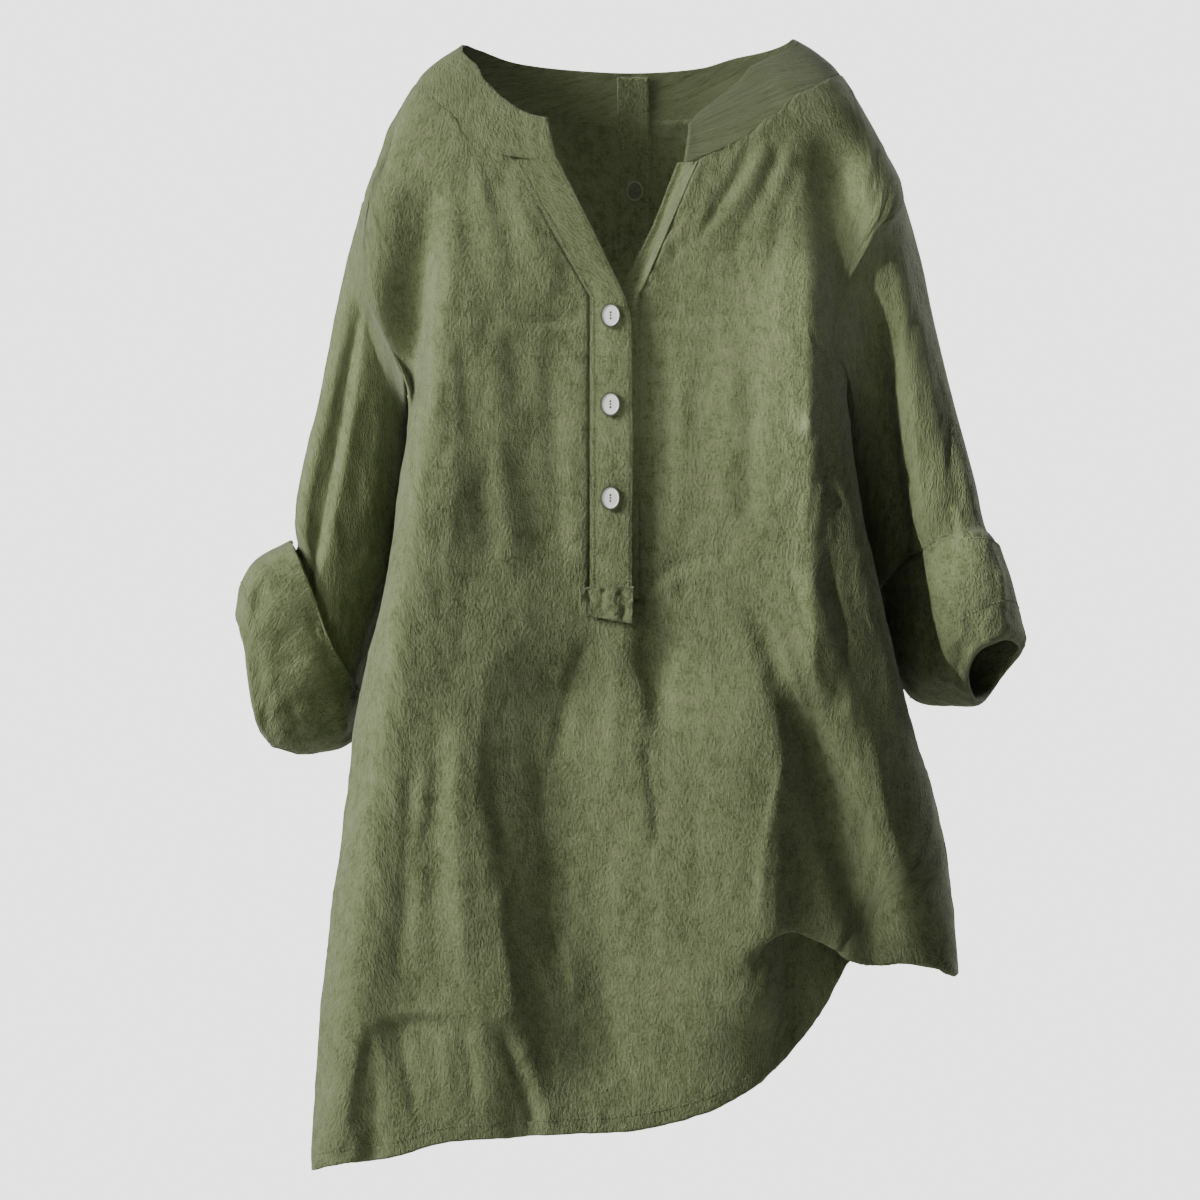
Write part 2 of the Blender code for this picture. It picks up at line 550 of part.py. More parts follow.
def build_front():
    """Two halves and the cloth between them below the placket, as one sheet with its slit left open."""
    rows = front_rows()
    left, right = front_half("left", rows), front_half("right", rows)[:, ::-1]
    steps = (np.arange(1, SLIT_COLUMNS) / SLIT_COLUMNS)[None, :, None]
    between = left[:, -1:] * (1 - steps) + right[:, :1] * steps
    chart = np.concatenate([left, between, right], axis=1)
    points = front_form(chart[..., 0], chart[..., 1])
    points[:, [0, -1], 1] -= EDGE_GAP / 2  # clear of the back at the side seams and shoulders
    points[0, :, 1] -= EDGE_GAP / 2
    keep = np.ones((chart.shape[0] - 1, chart.shape[1] - 1), bool)
    first = left.shape[1] - 1
    keep[: ARMHOLE_STEPS + SLIT_ROWS, first : first + SLIT_COLUMNS] = False
    return sheet("front_panel", points, keep=keep)


def back_hem(across):
    return curve(column(BACK_HEM, "across"), column(BACK_HEM, "height"), across)


def build_back():
    """One sheet from the collar's back seam and the shoulder seams to the back hem."""
    quarter = math.pi / 2
    seam = collar_at(np.linspace(LEFT_SHOULDER_ROW, RIGHT_SHOULDER_ROW, BACK_SEAM_COLUMNS + 1), 0.0)
    seam[:, 1] -= BAND_GAP
    left_ridge = np.linspace(SHOULDER_TIP, seam[0, 1], BACK_RIDGE_COLUMNS, endpoint=False)
    right_ridge = np.linspace(SHOULDER_TIP, seam[-1, 1], BACK_RIDGE_COLUMNS, endpoint=False)[::-1]
    top = np.concatenate(
        [
            np.stack([np.full(BACK_RIDGE_COLUMNS, -quarter), left_ridge], -1),
            seam,
            np.stack([np.full(BACK_RIDGE_COLUMNS, -3 * quarter), right_ridge], -1),
        ]
    )
    rows = np.linspace(0, 1, BACK_ROWS + 1)
    hem = hem_edge(back_hem, BACK_HEM[0].across, BACK_HEM[-1].across, len(top))
    hem[:, 0] = -math.pi - hem[:, 0]
    hem[0, 0], hem[-1, 0] = -quarter, -3 * quarter
    right_armhole = armhole_side("right_back") - np.array([2 * math.pi, 0])  # on round the back
    chart = chart_of(
        top,
        level_edge(-quarter, -3 * quarter, len(top)),
        hem,
        (armhole_side("left_back"), right_armhole),
        (seam_side(-quarter, hem[0, 1], rows), seam_side(-3 * quarter, hem[-1, 1], rows)),
        rows,
    )
    points = form(chart[..., 0], chart[..., 1])
    points[:, [0, -1], 1] += EDGE_GAP / 2
    points[0, :, 1] += EDGE_GAP / 2
    return sheet("back_panel", points)


def build_collar():
    """The doubled band, going on up the panels' own slope, with the panels' own steps along its seam."""
    spans = (
        (0, V_LEFT_ROW, 2),
        (V_LEFT_ROW, LEFT_SHOULDER_ROW, LEFT_SEAM_COLUMNS),
        (LEFT_SHOULDER_ROW, RIGHT_SHOULDER_ROW, BACK_SEAM_COLUMNS),
        (RIGHT_SHOULDER_ROW, V_RIGHT_ROW, RIGHT_SEAM_COLUMNS),
        (V_RIGHT_ROW, len(COLLAR) - 1, 2),
    )
    place = np.concatenate([np.linspace(a, b, n, endpoint=False) for a, b, n in spans] + [[len(COLLAR) - 1]])
    share = np.linspace(0, 1, COLLAR_LINES)
    chart = collar_at(place[None, :], share[:, None])
    return sheet("collar_band", form(chart[..., 0], chart[..., 1]), wall=BAND_CLOTH)


def strip_points(side, table, rows, columns):
    """A strip's points from its seam to its edge, rising beside the seam to how far its edge stands out."""
    height = np.linspace(table[0].height, table[-1].height, rows)
    knots = -column(table, "height")
    edge, edge_out = (np.interp(-height, knots, column(table, n)) for n in ("edge", "edge_out"))
    seam = v_seam(side, height) + (STRIP_GAP if side == "left" else -STRIP_GAP)
    u = np.linspace(0, 1, columns)[None, :]
    across = seam[:, None] + (edge - seam)[:, None] * u
    out = edge_out[:, None] * ease(u / STRIP_RISE)
    level = np.repeat(height[:, None], columns, axis=1)
    return form(angle_at(across, level), level, out)


def build_placket():
    """The overlapping strip on the left, the underlapping one on the right, and the tab over their end."""
    sheet("placket_overlap", strip_points("left", OVERLAP, STRIP_ROWS, 5), wall=BAND_CLOTH)
    sheet("placket_underlap", strip_points("right", UNDERLAP, STRIP_ROWS, 4), wall=CLOTH)

    u, v = np.meshgrid(np.linspace(0, 1, TAB_COLUMNS), np.linspace(0, 1, TAB_ROWS))
    across = TAB_LEFT + (TAB_RIGHT - TAB_LEFT) * u
    level = TAB_TOP + (TAB_BOTTOM - TAB_TOP) * v + TAB_SLANT * (u - 0.5) * (1 - v)
    crumple = TAB_CRUMPLE * np.sin(9 * u + 5 * v) * v
    sheet("placket_tab", form(angle_at(across, level), level, TAB_OUT + crumple), wall=BAND_CLOTH)


def arm_at(side, table, place, around, shrink=0.0):
    """A sleeve's point at a place along its rings and an angle round them: 0 outside, a quarter in front."""
    knots = np.arange(len(table))
    get = {n: curve(knots, column(table, n), place) for n in Arm._fields}
    outer, inner = (np.stack([get[f"{end}_{k}"] for k in "xyz"], -1) for end in ("outer", "inner"))
    half = (outer - inner) / 2
    length = np.linalg.norm(half, axis=-1)
    sine, cosine = np.sin(around), np.cos(around) * (length - shrink) / length
    bias, skew = LIP_BIAS[side]
    lean = sine * (1 + bias * sine + skew * np.cos(around))
    lip = np.broadcast_arrays(get["lean_x"] * lean, (shrink - get["depth"]) * sine, get["lean_z"] * lean)
    return (outer + inner) / 2 + half * cosine[..., None] + np.stack(lip, -1)


def armhole_loop(side, around):
    """The armhole's edge at angles round the sleeve, just clear of the panels."""
    share = (1 - np.cos(around)) / 2
    height = SHOULDER_TIP + (UNDERARM - SHOULDER_TIP) * share
    angle = np.where(
        np.sin(around) >= 0, armhole_angle(side, height), armhole_angle(side + "_back", height)
    )
    points = form(angle, height, UNDERARM_GAP * share)
    points[..., 0] += (-1 if side == "left" else 1) * ARMHOLE_GAP * (1 - share / 2)
    return points


def sleeve_table(side):
    """A sleeve's rings: its own, then those inside the roll."""
    left, right = (LEFT_ARM, LEFT_ROLL, LEFT_ROLL_SHRINK), (RIGHT_ARM, RIGHT_ROLL, RIGHT_ROLL_SHRINK)
    arm, roll, shrinks = left if side == "left" else right
    inside = []
    for ring, shrink in zip(roll, shrinks):
        outer, inner = np.array(ring[:3]), np.array(ring[3:6])
        cut = (outer - inner) * shrink / np.linalg.norm(outer - inner)
        inside.append(Arm(*(outer - cut), *(inner + cut), ring.depth - shrink, ring.lean_x, ring.lean_z))
    return arm + tuple(inside)


def build_sleeve(side):
    """A tube from the armhole down to just inside the rolled end's fold. Its first ring has the panels' own
    steps of height down the armhole, and lower rings turn to even steps round the sleeve."""
    table = sleeve_table(side)
    even = np.linspace(0, 2 * math.pi, 2 * ARMHOLE_STEPS, endpoint=False)[None, :]
    down = np.arange(ARMHOLE_STEPS) / ARMHOLE_STEPS
    stepped = np.concatenate([np.arccos(1 - 2 * down), 2 * math.pi - np.arccos(2 * down - 1)])[None, :]
    rolled_from = float(len(LEFT_ARM))
    last = len(table) - 1 - SLEEVE_STOP
    above = np.linspace(0, rolled_from, SLEEVE_ROWS, endpoint=False)
    place = np.concatenate([above, np.linspace(rolled_from, last, ROLLED_ROWS)])[:, None]
    blend = ease(place / ARMHOLE_BLEND)
    around = stepped * (1 - blend) + even * blend
    seam, own = armhole_loop(side, around), arm_at(side, table, place, around)
    sheet("sleeve_" + side, seam + (own - seam) * blend[..., None], closed=True)


def build_roll(side):
    """The turned-back end: an outer layer down to the fold at the opening, and an inner one back up."""
    table = LEFT_ROLL if side == "left" else RIGHT_ROLL
    last = len(table) - 1
    turn = np.linspace(0, math.pi, 5)
    outer = np.linspace(0, last, ROLL_ROWS, endpoint=False)
    inner = np.linspace(last, ROLL_INNER_ROW, 3)[1:]
    place = np.concatenate([outer, last + ROLL_FOLD * np.sin(turn), inner])
    shrink = np.concatenate([0 * outer, ROLL_LAYERS * (1 - np.cos(turn)) / 2, ROLL_LAYERS + 0 * inner])
    around = np.linspace(0, 2 * math.pi, 2 * ARMHOLE_STEPS, endpoint=False)[None, :]
    points = arm_at(side, table, place[:, None], around, shrink[:, None])
    sheet("cuff_roll_" + side, points, closed=True, wall=BAND_CLOTH)


def placing(across, height, out, behind=False):
    """The matrix that sets a small flat piece on the form, facing away from it, or into it from behind."""
    step = 0.004

    def at(a, h):
        return form(angle_at(np.float64(a), np.float64(h), behind), np.float64(h), out)

    up = at(across, height + step) - at(across, height - step)
    side = at(across + step, height) - at(across - step, height)
    up, side = up / np.linalg.norm(up), side / np.linalg.norm(side)
    facing = np.cross(side, up)
    side = np.cross(up, facing)
    turn = Matrix(np.stack([side, up, facing], axis=1).tolist()).to_4x4()
    return Matrix.Translation(at(across, height).tolist()) @ turn


def dished_disc(name, width, length, thickness):
    """An oval disc standing on its back, with a raised rim round a shallow dish."""
    bm = bmesh.new()
    bmesh.ops.create_cone(
        bm, cap_ends=True, segments=DISC_SEGMENTS, radius1=0.5, radius2=0.5, depth=thickness
    )
    front = [f for f in bm.faces if f.normal.z > 0.9]
    bmesh.ops.inset_region(bm, faces=front, thickness=BUTTON_RIM, depth=0.0)
    dish = [f for f in bm.faces if f.normal.z > 0.9 and len(f.verts) > 4]
    bmesh.ops.inset_region(bm, faces=dish, thickness=BUTTON_SLOPE, depth=-BUTTON_DISH)
    for v in bm.verts:
        v.co.x *= width
        v.co.y *= length
        v.co.z += thickness / 2
    mesh = bpy.data.meshes.new(name)
    bm.to_mesh(mesh)
    bm.free()
    return mesh


def thread_hole(name, place, offset):
    """The cutter of one round hole through a button, offset along its length."""
    bm = bmesh.new()
    radius = BUTTON_HOLE / 2
    bmesh.ops.create_cone(
        bm, cap_ends=True, segments=HOLE_SEGMENTS, radius1=radius, radius2=radius, depth=4 * BUTTON_THICKNESS
    )
    bmesh.ops.translate(bm, verts=bm.verts, vec=(0, offset, 0))
    mesh = bpy.data.meshes.new(name)
    bm.to_mesh(mesh)
    bm.free()
    cutter = bpy.data.objects.new(name, mesh)
    cutter.matrix_world = place
    cutter.hide_render = True
    cutter.display_type = "WIRE"
    bpy.data.collections["cutters"].objects.link(cutter)
    return cutter


def build_buttons():
    """Oval buttons with two holes, one above the other, each facing out of the placket."""
    for name, height in BUTTON_HEIGHTS.items():
        place = placing(BUTTON_ACROSS, height, BUTTON_OUT)
        disc = dished_disc(name, BUTTON_WIDTH, BUTTON_LENGTH, BUTTON_THICKNESS)
        button = add(name, disc, BUTTON_COLOUR, BUTTON_ROUGHNESS)
        button.matrix_world = place
        for which, offset in (("lower", -BUTTON_HOLE_STEP / 2), ("upper", BUTTON_HOLE_STEP / 2)):
            cut = button.modifiers.new(which + "_hole", "BOOLEAN")
            cut.operation = "DIFFERENCE"
            cut.object = thread_hole(f"{name}_{which}_hole", place, offset)


def build_back_strip():
    """The strip hanging inside the back neck, laid on the back's inner side, and its button."""
    knots = -column(BACK_STRIP, "height")
    height = np.linspace(BACK_STRIP[0].height, BACK_STRIP[-1].height, BACK_STRIP_ROWS)
    left, right = (np.interp(-height, knots, column(BACK_STRIP, n)) for n in ("left", "right"))
    u = np.linspace(0, 1, BACK_STRIP_COLUMNS)[None, :]
    across = left[:, None] + (right - left)[:, None] * u
    level = np.repeat(height[:, None], BACK_STRIP_COLUMNS, axis=1)
    sheet("back_neck_strip", form(angle_at(across, level, behind=True), level, BACK_STRIP_IN))

    disc = dished_disc("back_strip_button", BACK_BUTTON_WIDTH, BACK_BUTTON_LENGTH, BACK_BUTTON_THICKNESS)
    button = add("back_strip_button", disc, GRAIN_COLOUR, CLOTH_ROUGHNESS)
    button.matrix_world = placing(BACK_BUTTON_ACROSS, BACK_BUTTON_HEIGHT, BACK_BUTTON_IN, behind=True)


for old in list(bpy.data.objects):
    bpy.data.objects.remove(old)
for made in (COLLECTION, "cutters"):
    bpy.context.scene.collection.children.link(bpy.data.collections.new(made))

build_front()
build_back()
build_collar()
build_placket()
for arm_side in ("left", "right"):
    build_sleeve(arm_side)
    build_roll(arm_side)
build_buttons()
build_back_strip()
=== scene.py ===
"""A sage linen popover blouse, filled out with no wearer, dressed for its looks.

Metres, +Z up, the front facing -Y, and left and right are the viewer's. The cloth is laid on the same body
and sleeve rings as the solids, then creased, stitched and given its weave.
"""

import math
from collections import namedtuple

import bpy
import numpy as np
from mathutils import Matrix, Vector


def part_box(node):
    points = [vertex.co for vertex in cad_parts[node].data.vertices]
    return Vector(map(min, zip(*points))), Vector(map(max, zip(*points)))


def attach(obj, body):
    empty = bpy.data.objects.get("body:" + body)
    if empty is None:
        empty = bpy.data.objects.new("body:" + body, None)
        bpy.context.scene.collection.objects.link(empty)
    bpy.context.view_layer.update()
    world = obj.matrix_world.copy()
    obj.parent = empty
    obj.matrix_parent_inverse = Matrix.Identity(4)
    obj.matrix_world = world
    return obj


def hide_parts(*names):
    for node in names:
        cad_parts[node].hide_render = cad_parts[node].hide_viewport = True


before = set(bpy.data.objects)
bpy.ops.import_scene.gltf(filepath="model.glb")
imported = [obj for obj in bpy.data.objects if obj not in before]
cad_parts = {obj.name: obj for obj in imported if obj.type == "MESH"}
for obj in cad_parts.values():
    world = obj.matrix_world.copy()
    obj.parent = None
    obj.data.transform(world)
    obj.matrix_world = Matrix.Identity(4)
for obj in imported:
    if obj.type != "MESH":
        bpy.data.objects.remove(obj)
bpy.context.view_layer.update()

# ---- Front panel ---------------------------------------------------------------------------------------
# One cut of slubby linen from the shoulders to the hem, slit from the neck down to the placket's end. Its hem
# is turned up and stitched, and at the lower right the cloth is tucked up behind itself.

Ring = namedtuple("Ring", "height left right front back")
BODY = [Ring(*row) for row in (
    (0.0284, -0.1122, 0.1179, 0.027, 0.045),
    (0.0227, -0.1186, 0.1278, 0.031, 0.050),
    (0.0142, -0.1314, 0.1392, 0.038, 0.056),
    (0.0057, -0.1420, 0.1477, 0.045, 0.062),
    (-0.0071, -0.1519, 0.1569, 0.055, 0.069),
    (-0.0284, -0.1647, 0.1697, 0.068, 0.078),
    (-0.0533, -0.1747, 0.1832, 0.077, 0.086),
    (-0.0852, -0.1860, 0.1953, 0.086, 0.091),
    (-0.1200, -0.1898, 0.1890, 0.091, 0.094),
    (-0.1560, -0.1895, 0.1780, 0.094, 0.096),
    (-0.1850, -0.1760, 0.1630, 0.095, 0.097),
    (-0.2150, -0.1570, 0.1545, 0.096, 0.098),
    (-0.2485, -0.1555, 0.1570, 0.096, 0.098),
    (-0.2840, -0.1605, 0.1612, 0.096, 0.098),
    (-0.3550, -0.1704, 0.1761, 0.096, 0.098),
    (-0.4402, -0.1903, 0.1967, 0.098, 0.100),
    (-0.5325, -0.2016, 0.2229, 0.104, 0.106),
    (-0.6213, -0.2137, 0.2343, 0.109, 0.112),
    (-0.7704, -0.2251, 0.2360, 0.114, 0.116),
)]
LEFT_SQUARE, RIGHT_SQUARE, BACK_SQUARE = 9.0, 5.0, 2.3  # how square the rings are: 2 is an ellipse
SHOULDER_TIP, UNDERARM = -0.0852, -0.2150
PLACKET_END, SLIT_LEFT, SLIT_RIGHT = -0.3690, -0.0270, 0.0074
V_BOTTOM, V_LEFT_TOP, V_RIGHT_TOP = -0.1560, (-0.0824, -0.0582), (0.0490, -0.0592)

# Where the front's armhole seams lie, and the back's, across at each height between the tip and the underarm
Armhole = namedtuple("Armhole", "height left right left_back right_back")
ARMHOLES = [Armhole(*row) for row in (
    (-0.1050, -0.1850, 0.1790, -0.1780, 0.1840),
    (-0.1200, -0.1865, 0.1695, -0.1720, 0.1760),
    (-0.1490, -0.1860, 0.1541, -0.1620, 0.1620),
    (-0.1775, -0.1745, 0.1448, -0.1520, 0.1520),
    (-0.1970, -0.1650, 0.1470, -0.1490, 0.1500),
)]

# The collar's lower seam and its top edge, from the left front end round the back to the right one
Collar = namedtuple("Collar", "side seam_across seam_height edge_across edge_height")
COLLAR = [Collar(*row) for row in (
    ("front", -0.0504, -0.0582, -0.0561, -0.0298),
    ("front", -0.0767, -0.0561, -0.0717, -0.0263),
    ("front", -0.0980, -0.0504, -0.0873, -0.0163),
    ("front", -0.1150, -0.0391, -0.1008, -0.0036),
    ("front", -0.1306, -0.0185, -0.1108, 0.0114),
    ("left", -0.1491, -0.0021, -0.1164, 0.0241),
    ("back", -0.1335, -0.0128, -0.1051, 0.0210),
    ("back", -0.0909, -0.0220, -0.0767, 0.0125),
    ("back", -0.0412, -0.0262, -0.0341, 0.0080),
    ("back", 0.0085, -0.0265, 0.0085, 0.0066),
    ("back", 0.0582, -0.0240, 0.0511, 0.0097),
    ("back", 0.1079, -0.0160, 0.0866, 0.0185),
    ("right", 0.1491, 0.0043, 0.1164, 0.0284),
    ("front", 0.1306, -0.0043, 0.0973, 0.0128),
    ("front", 0.1093, -0.0192, 0.0781, -0.0036),
    ("front", 0.0880, -0.0362, 0.0618, -0.0170),
    ("front", 0.0667, -0.0490, 0.0497, -0.0263),
    ("front", 0.0391, -0.0600, 0.0426, -0.0341),
)]
LEFT_SHOULDER_ROW, RIGHT_SHOULDER_ROW = 5, 12
V_LEFT_ROW, V_RIGHT_ROW = 1.2, 16.6  # where the V seams leave the collar seam

Hem = namedtuple("Hem", "across height")
FRONT_HEM = [Hem(*row) for row in (
    (-0.2251, -0.7704),
    (-0.2110, -0.7670),
    (-0.1619, -0.7590),
    (-0.1335, -0.7505),
    (-0.0909, -0.7468),
    (-0.0483, -0.7440),
    (0.0000, -0.7415),
    (0.0600, -0.7262),
    (0.0959, -0.7070),
    (0.1205, -0.6890),
    (0.1400, -0.6710),
    (0.1530, -0.6540),
    (0.1730, -0.6240),
    (0.1880, -0.6140),
    (0.2340, -0.6160),
)]
TUCK_LINE = [Hem(*row) for row in (
    (0.0500, -0.6120),
    (0.0916, -0.6050),
    (0.1150, -0.5990),
    (0.1363, -0.6070),
    (0.1633, -0.6220),
    (0.1931, -0.6225),
    (0.2109, -0.6245),
    (0.2343, -0.6330),
)]
TUCK_START, TUCK_FULL = 0.062, 0.142  # across, where the tuck begins and where it is full
TUCK_TAKEN, TUCK_ROLL, TUCK_SET_BACK = 0.050, 0.035, 0.024  # cloth it takes up, cloth it turns, and its depth

# The main folds: a line from top to bottom, its half widths on both sides and its depth inwards
Fold = namedtuple("Fold", "across_top top across_low low left_width right_width depth_top depth_low")
FRONT_FOLDS = [Fold(*row) for row in (
    (-0.1370, -0.060, -0.1520, -0.215, 0.024, 0.010, 0.006, 0.036),  # behind the rim at the left armhole
    (-0.1320, -0.110, -0.1450, -0.300, 0.012, 0.030, -0.003, -0.008),  # the rim itself
    (-0.1450, -0.270, -0.2000, -0.700, 0.014, 0.026, -0.007, -0.009),
    (0.1380, -0.030, 0.1620, -0.215, 0.014, 0.020, 0.013, 0.026),  # along the right armhole
    (0.0100, -0.100, 0.0140, -0.420, 0.090, 0.060, 0.013, 0.017),  # the dip under the placket
    (0.0035, -0.110, 0.0035, -0.375, 0.024, 0.005, -0.006, -0.006),  # and the placket's own stand
    (0.1240, -0.080, 0.1280, -0.400, 0.045, 0.012, -0.010, -0.014),  # the right chest's fullness
    (-0.1200, -0.420, -0.0850, -0.700, 0.040, 0.018, -0.006, -0.010),
    (-0.0400, -0.380, -0.0190, -0.680, 0.045, 0.040, 0.010, 0.015),
    (0.1080, -0.400, 0.1000, -0.640, 0.050, 0.012, -0.012, -0.015),
    (0.0860, -0.350, 0.1640, -0.590, 0.014, 0.018, 0.006, 0.013),
    (0.1180, -0.330, 0.1930, -0.565, 0.024, 0.018, -0.010, -0.008),
    (0.0240, -0.385, 0.0270, -0.520, 0.012, 0.014, 0.008, 0.004),  # below the placket's end
    (-0.1720, -0.660, -0.1820, -0.780, 0.010, 0.010, 0.003, 0.007),
    (-0.0910, -0.655, -0.0700, -0.770, 0.012, 0.014, 0.003, 0.007),
)]
BACK_FOLDS = [Fold(*row) for row in (
    (-0.1100, -0.120, -0.1300, -0.700, 0.018, 0.022, -0.002, -0.012),
    (-0.0560, -0.080, -0.0520, -0.720, 0.020, 0.022, 0.000, -0.012),
    (0.0060, -0.050, 0.0180, -0.720, 0.016, 0.020, -0.004, 0.009),
    (0.0620, -0.090, 0.0900, -0.690, 0.018, 0.020, 0.000, -0.012),
    (0.1200, -0.140, 0.1550, -0.640, 0.016, 0.022, -0.003, -0.010),
)]
FOLD_FADE = 0.22  # the share of its length over which a fold comes in, and goes out


def curve(knots, values, at):
    """A smooth curve through a table: cubic pieces, with its neighbours' mean slope at each knot."""
    knots, values, at = (np.asarray(a, float) for a in (knots, values, at))
    slopes = np.gradient(values, knots)
    i = np.clip(np.searchsorted(knots, at) - 1, 0, len(knots) - 2)
    step = knots[i + 1] - knots[i]
    t = np.clip((at - knots[i]) / step, -0.5, 1.5)
    return (
        values[i] * (2 * t**3 - 3 * t**2 + 1)
        + slopes[i] * step * (t**3 - 2 * t**2 + t)
        + values[i + 1] * (3 * t**2 - 2 * t**3)
        + slopes[i + 1] * step * (t**3 - t**2)
    )


def ease(t):
    """0 to 1 with level ends: 3t^2 - 2t^3."""
    t = np.clip(t, 0.0, 1.0)
    return t * t * (3 - 2 * t)


def column(table, name):
    return np.array([getattr(row, name) for row in table])


def body_ring(height):
    """The ring at a height: its middle, half width, and depths in front and behind."""
    knots = -column(BODY, "height")
    left, right, front, back = (
        curve(knots, column(BODY, n), -height) for n in ("left", "right", "front", "back")
    )
    return (left + right) / 2, (right - left) / 2, front, back


def angle_at(across, height, behind=False):
    """The angle round a ring, 0 at the front's middle: the arc sine of the share of its half width."""
    middle, half, _, _ = body_ring(height)
    angle = np.arcsin(np.clip((across - middle) / half, -1, 1))
    return np.where(angle < 0, -math.pi - angle, math.pi - angle) if behind else angle


def fold_depth(folds, across, height):
    """How far the folds press the cloth inwards: a bell across each one's line, eased in and out along it."""
    depth = np.zeros_like(across)
    for f in folds:
        t = (f.top - height) / (f.top - f.low)
        line = f.across_top + (f.across_low - f.across_top) * t
        width = np.where(across < line, f.left_width, f.right_width)
        there = ease(t / FOLD_FADE) * ease((1 + FOLD_FADE - t) / FOLD_FADE)
        depth += (f.depth_top + (f.depth_low - f.depth_top) * np.clip(t, 0, 1)) * there * np.exp(
            -(((across - line) / width) ** 2)
        )
    return depth


def form(angle, height, out=0.0):
    """The garment's form: a superellipse round the body's ring at each height, less the main folds, and moved
    out by a distance square to a round ring."""
    angle, height, out = np.broadcast_arrays(angle, height, out)
    middle, half, front, back = body_ring(height)
    sine, cosine = np.sin(angle), np.cos(angle)
    across = middle + half * sine
    behind = cosine < 0
    square = np.where(behind, BACK_SQUARE, np.where(sine < 0, LEFT_SQUARE, RIGHT_SQUARE))
    reach = np.where(behind, back, front) * np.maximum(1 - np.abs(sine) ** square, 0) ** (1 / square)
    press = np.where(behind, fold_depth(BACK_FOLDS, across, height), fold_depth(FRONT_FOLDS, across, height))
    press = np.minimum(press * ease(np.abs(cosine) / 0.25), 0.75 * reach)
    deep = (reach - press) * np.where(behind, 1, -1)
    return np.stack([across + out * sine, deep - out * cosine, height + 0 * angle], axis=-1)


def front_form(angle, length, out=0.0):
    """As form(), with the tuck: past its line the cloth turns up behind, then down again."""
    middle, half, _, _ = body_ring(length)
    across = middle + half * np.sin(angle)
    on_line = np.clip(across, TUCK_LINE[0].across, TUCK_LINE[-1].across)
    line = curve(column(TUCK_LINE, "across"), column(TUCK_LINE, "height"), on_line)
    share = ease((across - TUCK_START) / (TUCK_FULL - TUCK_START))
    turned = ease((line - length) / TUCK_ROLL)
    return form(angle, length + TUCK_TAKEN * share * turned, out - TUCK_SET_BACK * share * turned)


def front_hem(across):
    """The length down the cloth at which the front ends, with what the tuck takes up."""
    height = curve(column(FRONT_HEM, "across"), column(FRONT_HEM, "height"), across)
    return height - TUCK_TAKEN * ease((across - TUCK_START) / (TUCK_FULL - TUCK_START))


def patch_at(top, bottom, left, right, u, v):
    """A grid between four edges: the blend of the two edges across plus that of the two edges down, less the
    corners' own blend."""
    corners = (
        (1 - u) * (1 - v) * top[0] + u * (1 - v) * top[-1] + (1 - u) * v * bottom[0] + u * v * bottom[-1]
    )
    return (1 - v) * top[None] + v * bottom[None] + (1 - u) * left[:, None] + u * right[:, None] - corners


def armhole_angle(which, height):
    """The signed angle of an armhole seam, square to the side at its two ends: left ones are negative, back
    ones past a quarter turn."""
    knots = np.concatenate([[-SHOULDER_TIP], -column(ARMHOLES, "height"), [-UNDERARM]])
    middle, half, _, _ = body_ring(-knots[1:-1])
    inner = np.arccos(np.clip(np.abs(column(ARMHOLES, which) - middle) / half, 0, 1))
    off_side = np.maximum(curve(knots, np.concatenate([[0.0], inner, [0.0]]), -height), 0)
    angle = math.pi / 2 + (off_side if which.endswith("back") else -off_side)
    return -angle if which.startswith("left") else angle


def v_seam(side, height):
    """Where a V seam lies across at a height: slanting to the V's bottom, then upright beside the slit."""
    top, slit = (V_LEFT_TOP, SLIT_LEFT) if side == "left" else (V_RIGHT_TOP, SLIT_RIGHT)
    return np.interp(-height, (-top[1], -V_BOTTOM), (top[0], slit))


def collar_at(place, share):
    """The collar's (angle, height) at a place along its table and a share of its width from the seam."""
    rows = []
    for c in COLLAR:
        if c.side in ("left", "right"):
            side = -math.pi / 2 if c.side == "left" else math.pi / 2
            rows.append((side, c.seam_height, side, c.edge_height))
            continue
        behind = c.side == "back"
        seam = float(angle_at(c.seam_across, np.float64(c.seam_height), behind))
        edge = float(angle_at(c.edge_across, np.float64(c.edge_height), behind))
        rows.append((seam, c.seam_height, edge, c.edge_height))
    rows, knots = np.array(rows), np.arange(len(COLLAR))
    for k in (0, 2):  # one turn from the left front, round the back, to the right front
        past_back = (knots >= RIGHT_SHOULDER_ROW) | ((knots > LEFT_SHOULDER_ROW) & (rows[:, k] > 0))
        rows[past_back, k] -= 2 * math.pi
    seam_angle, seam_height, edge_angle, edge_height = (curve(knots, rows[:, k], place) for k in range(4))
    angle = seam_angle + (edge_angle - seam_angle) * share
    return np.stack([angle, seam_height + (edge_height - seam_height) * share], -1)


def panel_chart(top, level, hem, upper_sides, lower_sides):
    """A panel's (angle, length) grid: one patch down to the underarm's level, another down to the hem."""
    u = np.linspace(0, 1, len(top))[None, :, None]
    upper, lower = (
        patch_at(a, b, *sides, u, np.linspace(0, 1, len(sides[0]))[:, None, None])
        for a, b, sides in ((top, level, upper_sides), (level, hem, lower_sides))
    )
    return np.concatenate([upper, lower[1:]])


def armhole_side(which, steps):
    height = np.linspace(SHOULDER_TIP, UNDERARM, steps + 1)
    return np.stack([armhole_angle(which, height), height], -1)


def hem_line(length_at, from_across, to_across, columns, above):
    """Along a hem in even steps across, some way above its edge."""
    across = np.linspace(from_across, to_across, columns)
    length = length_at(across) + above
    return np.stack([angle_at(across, length), length], -1)


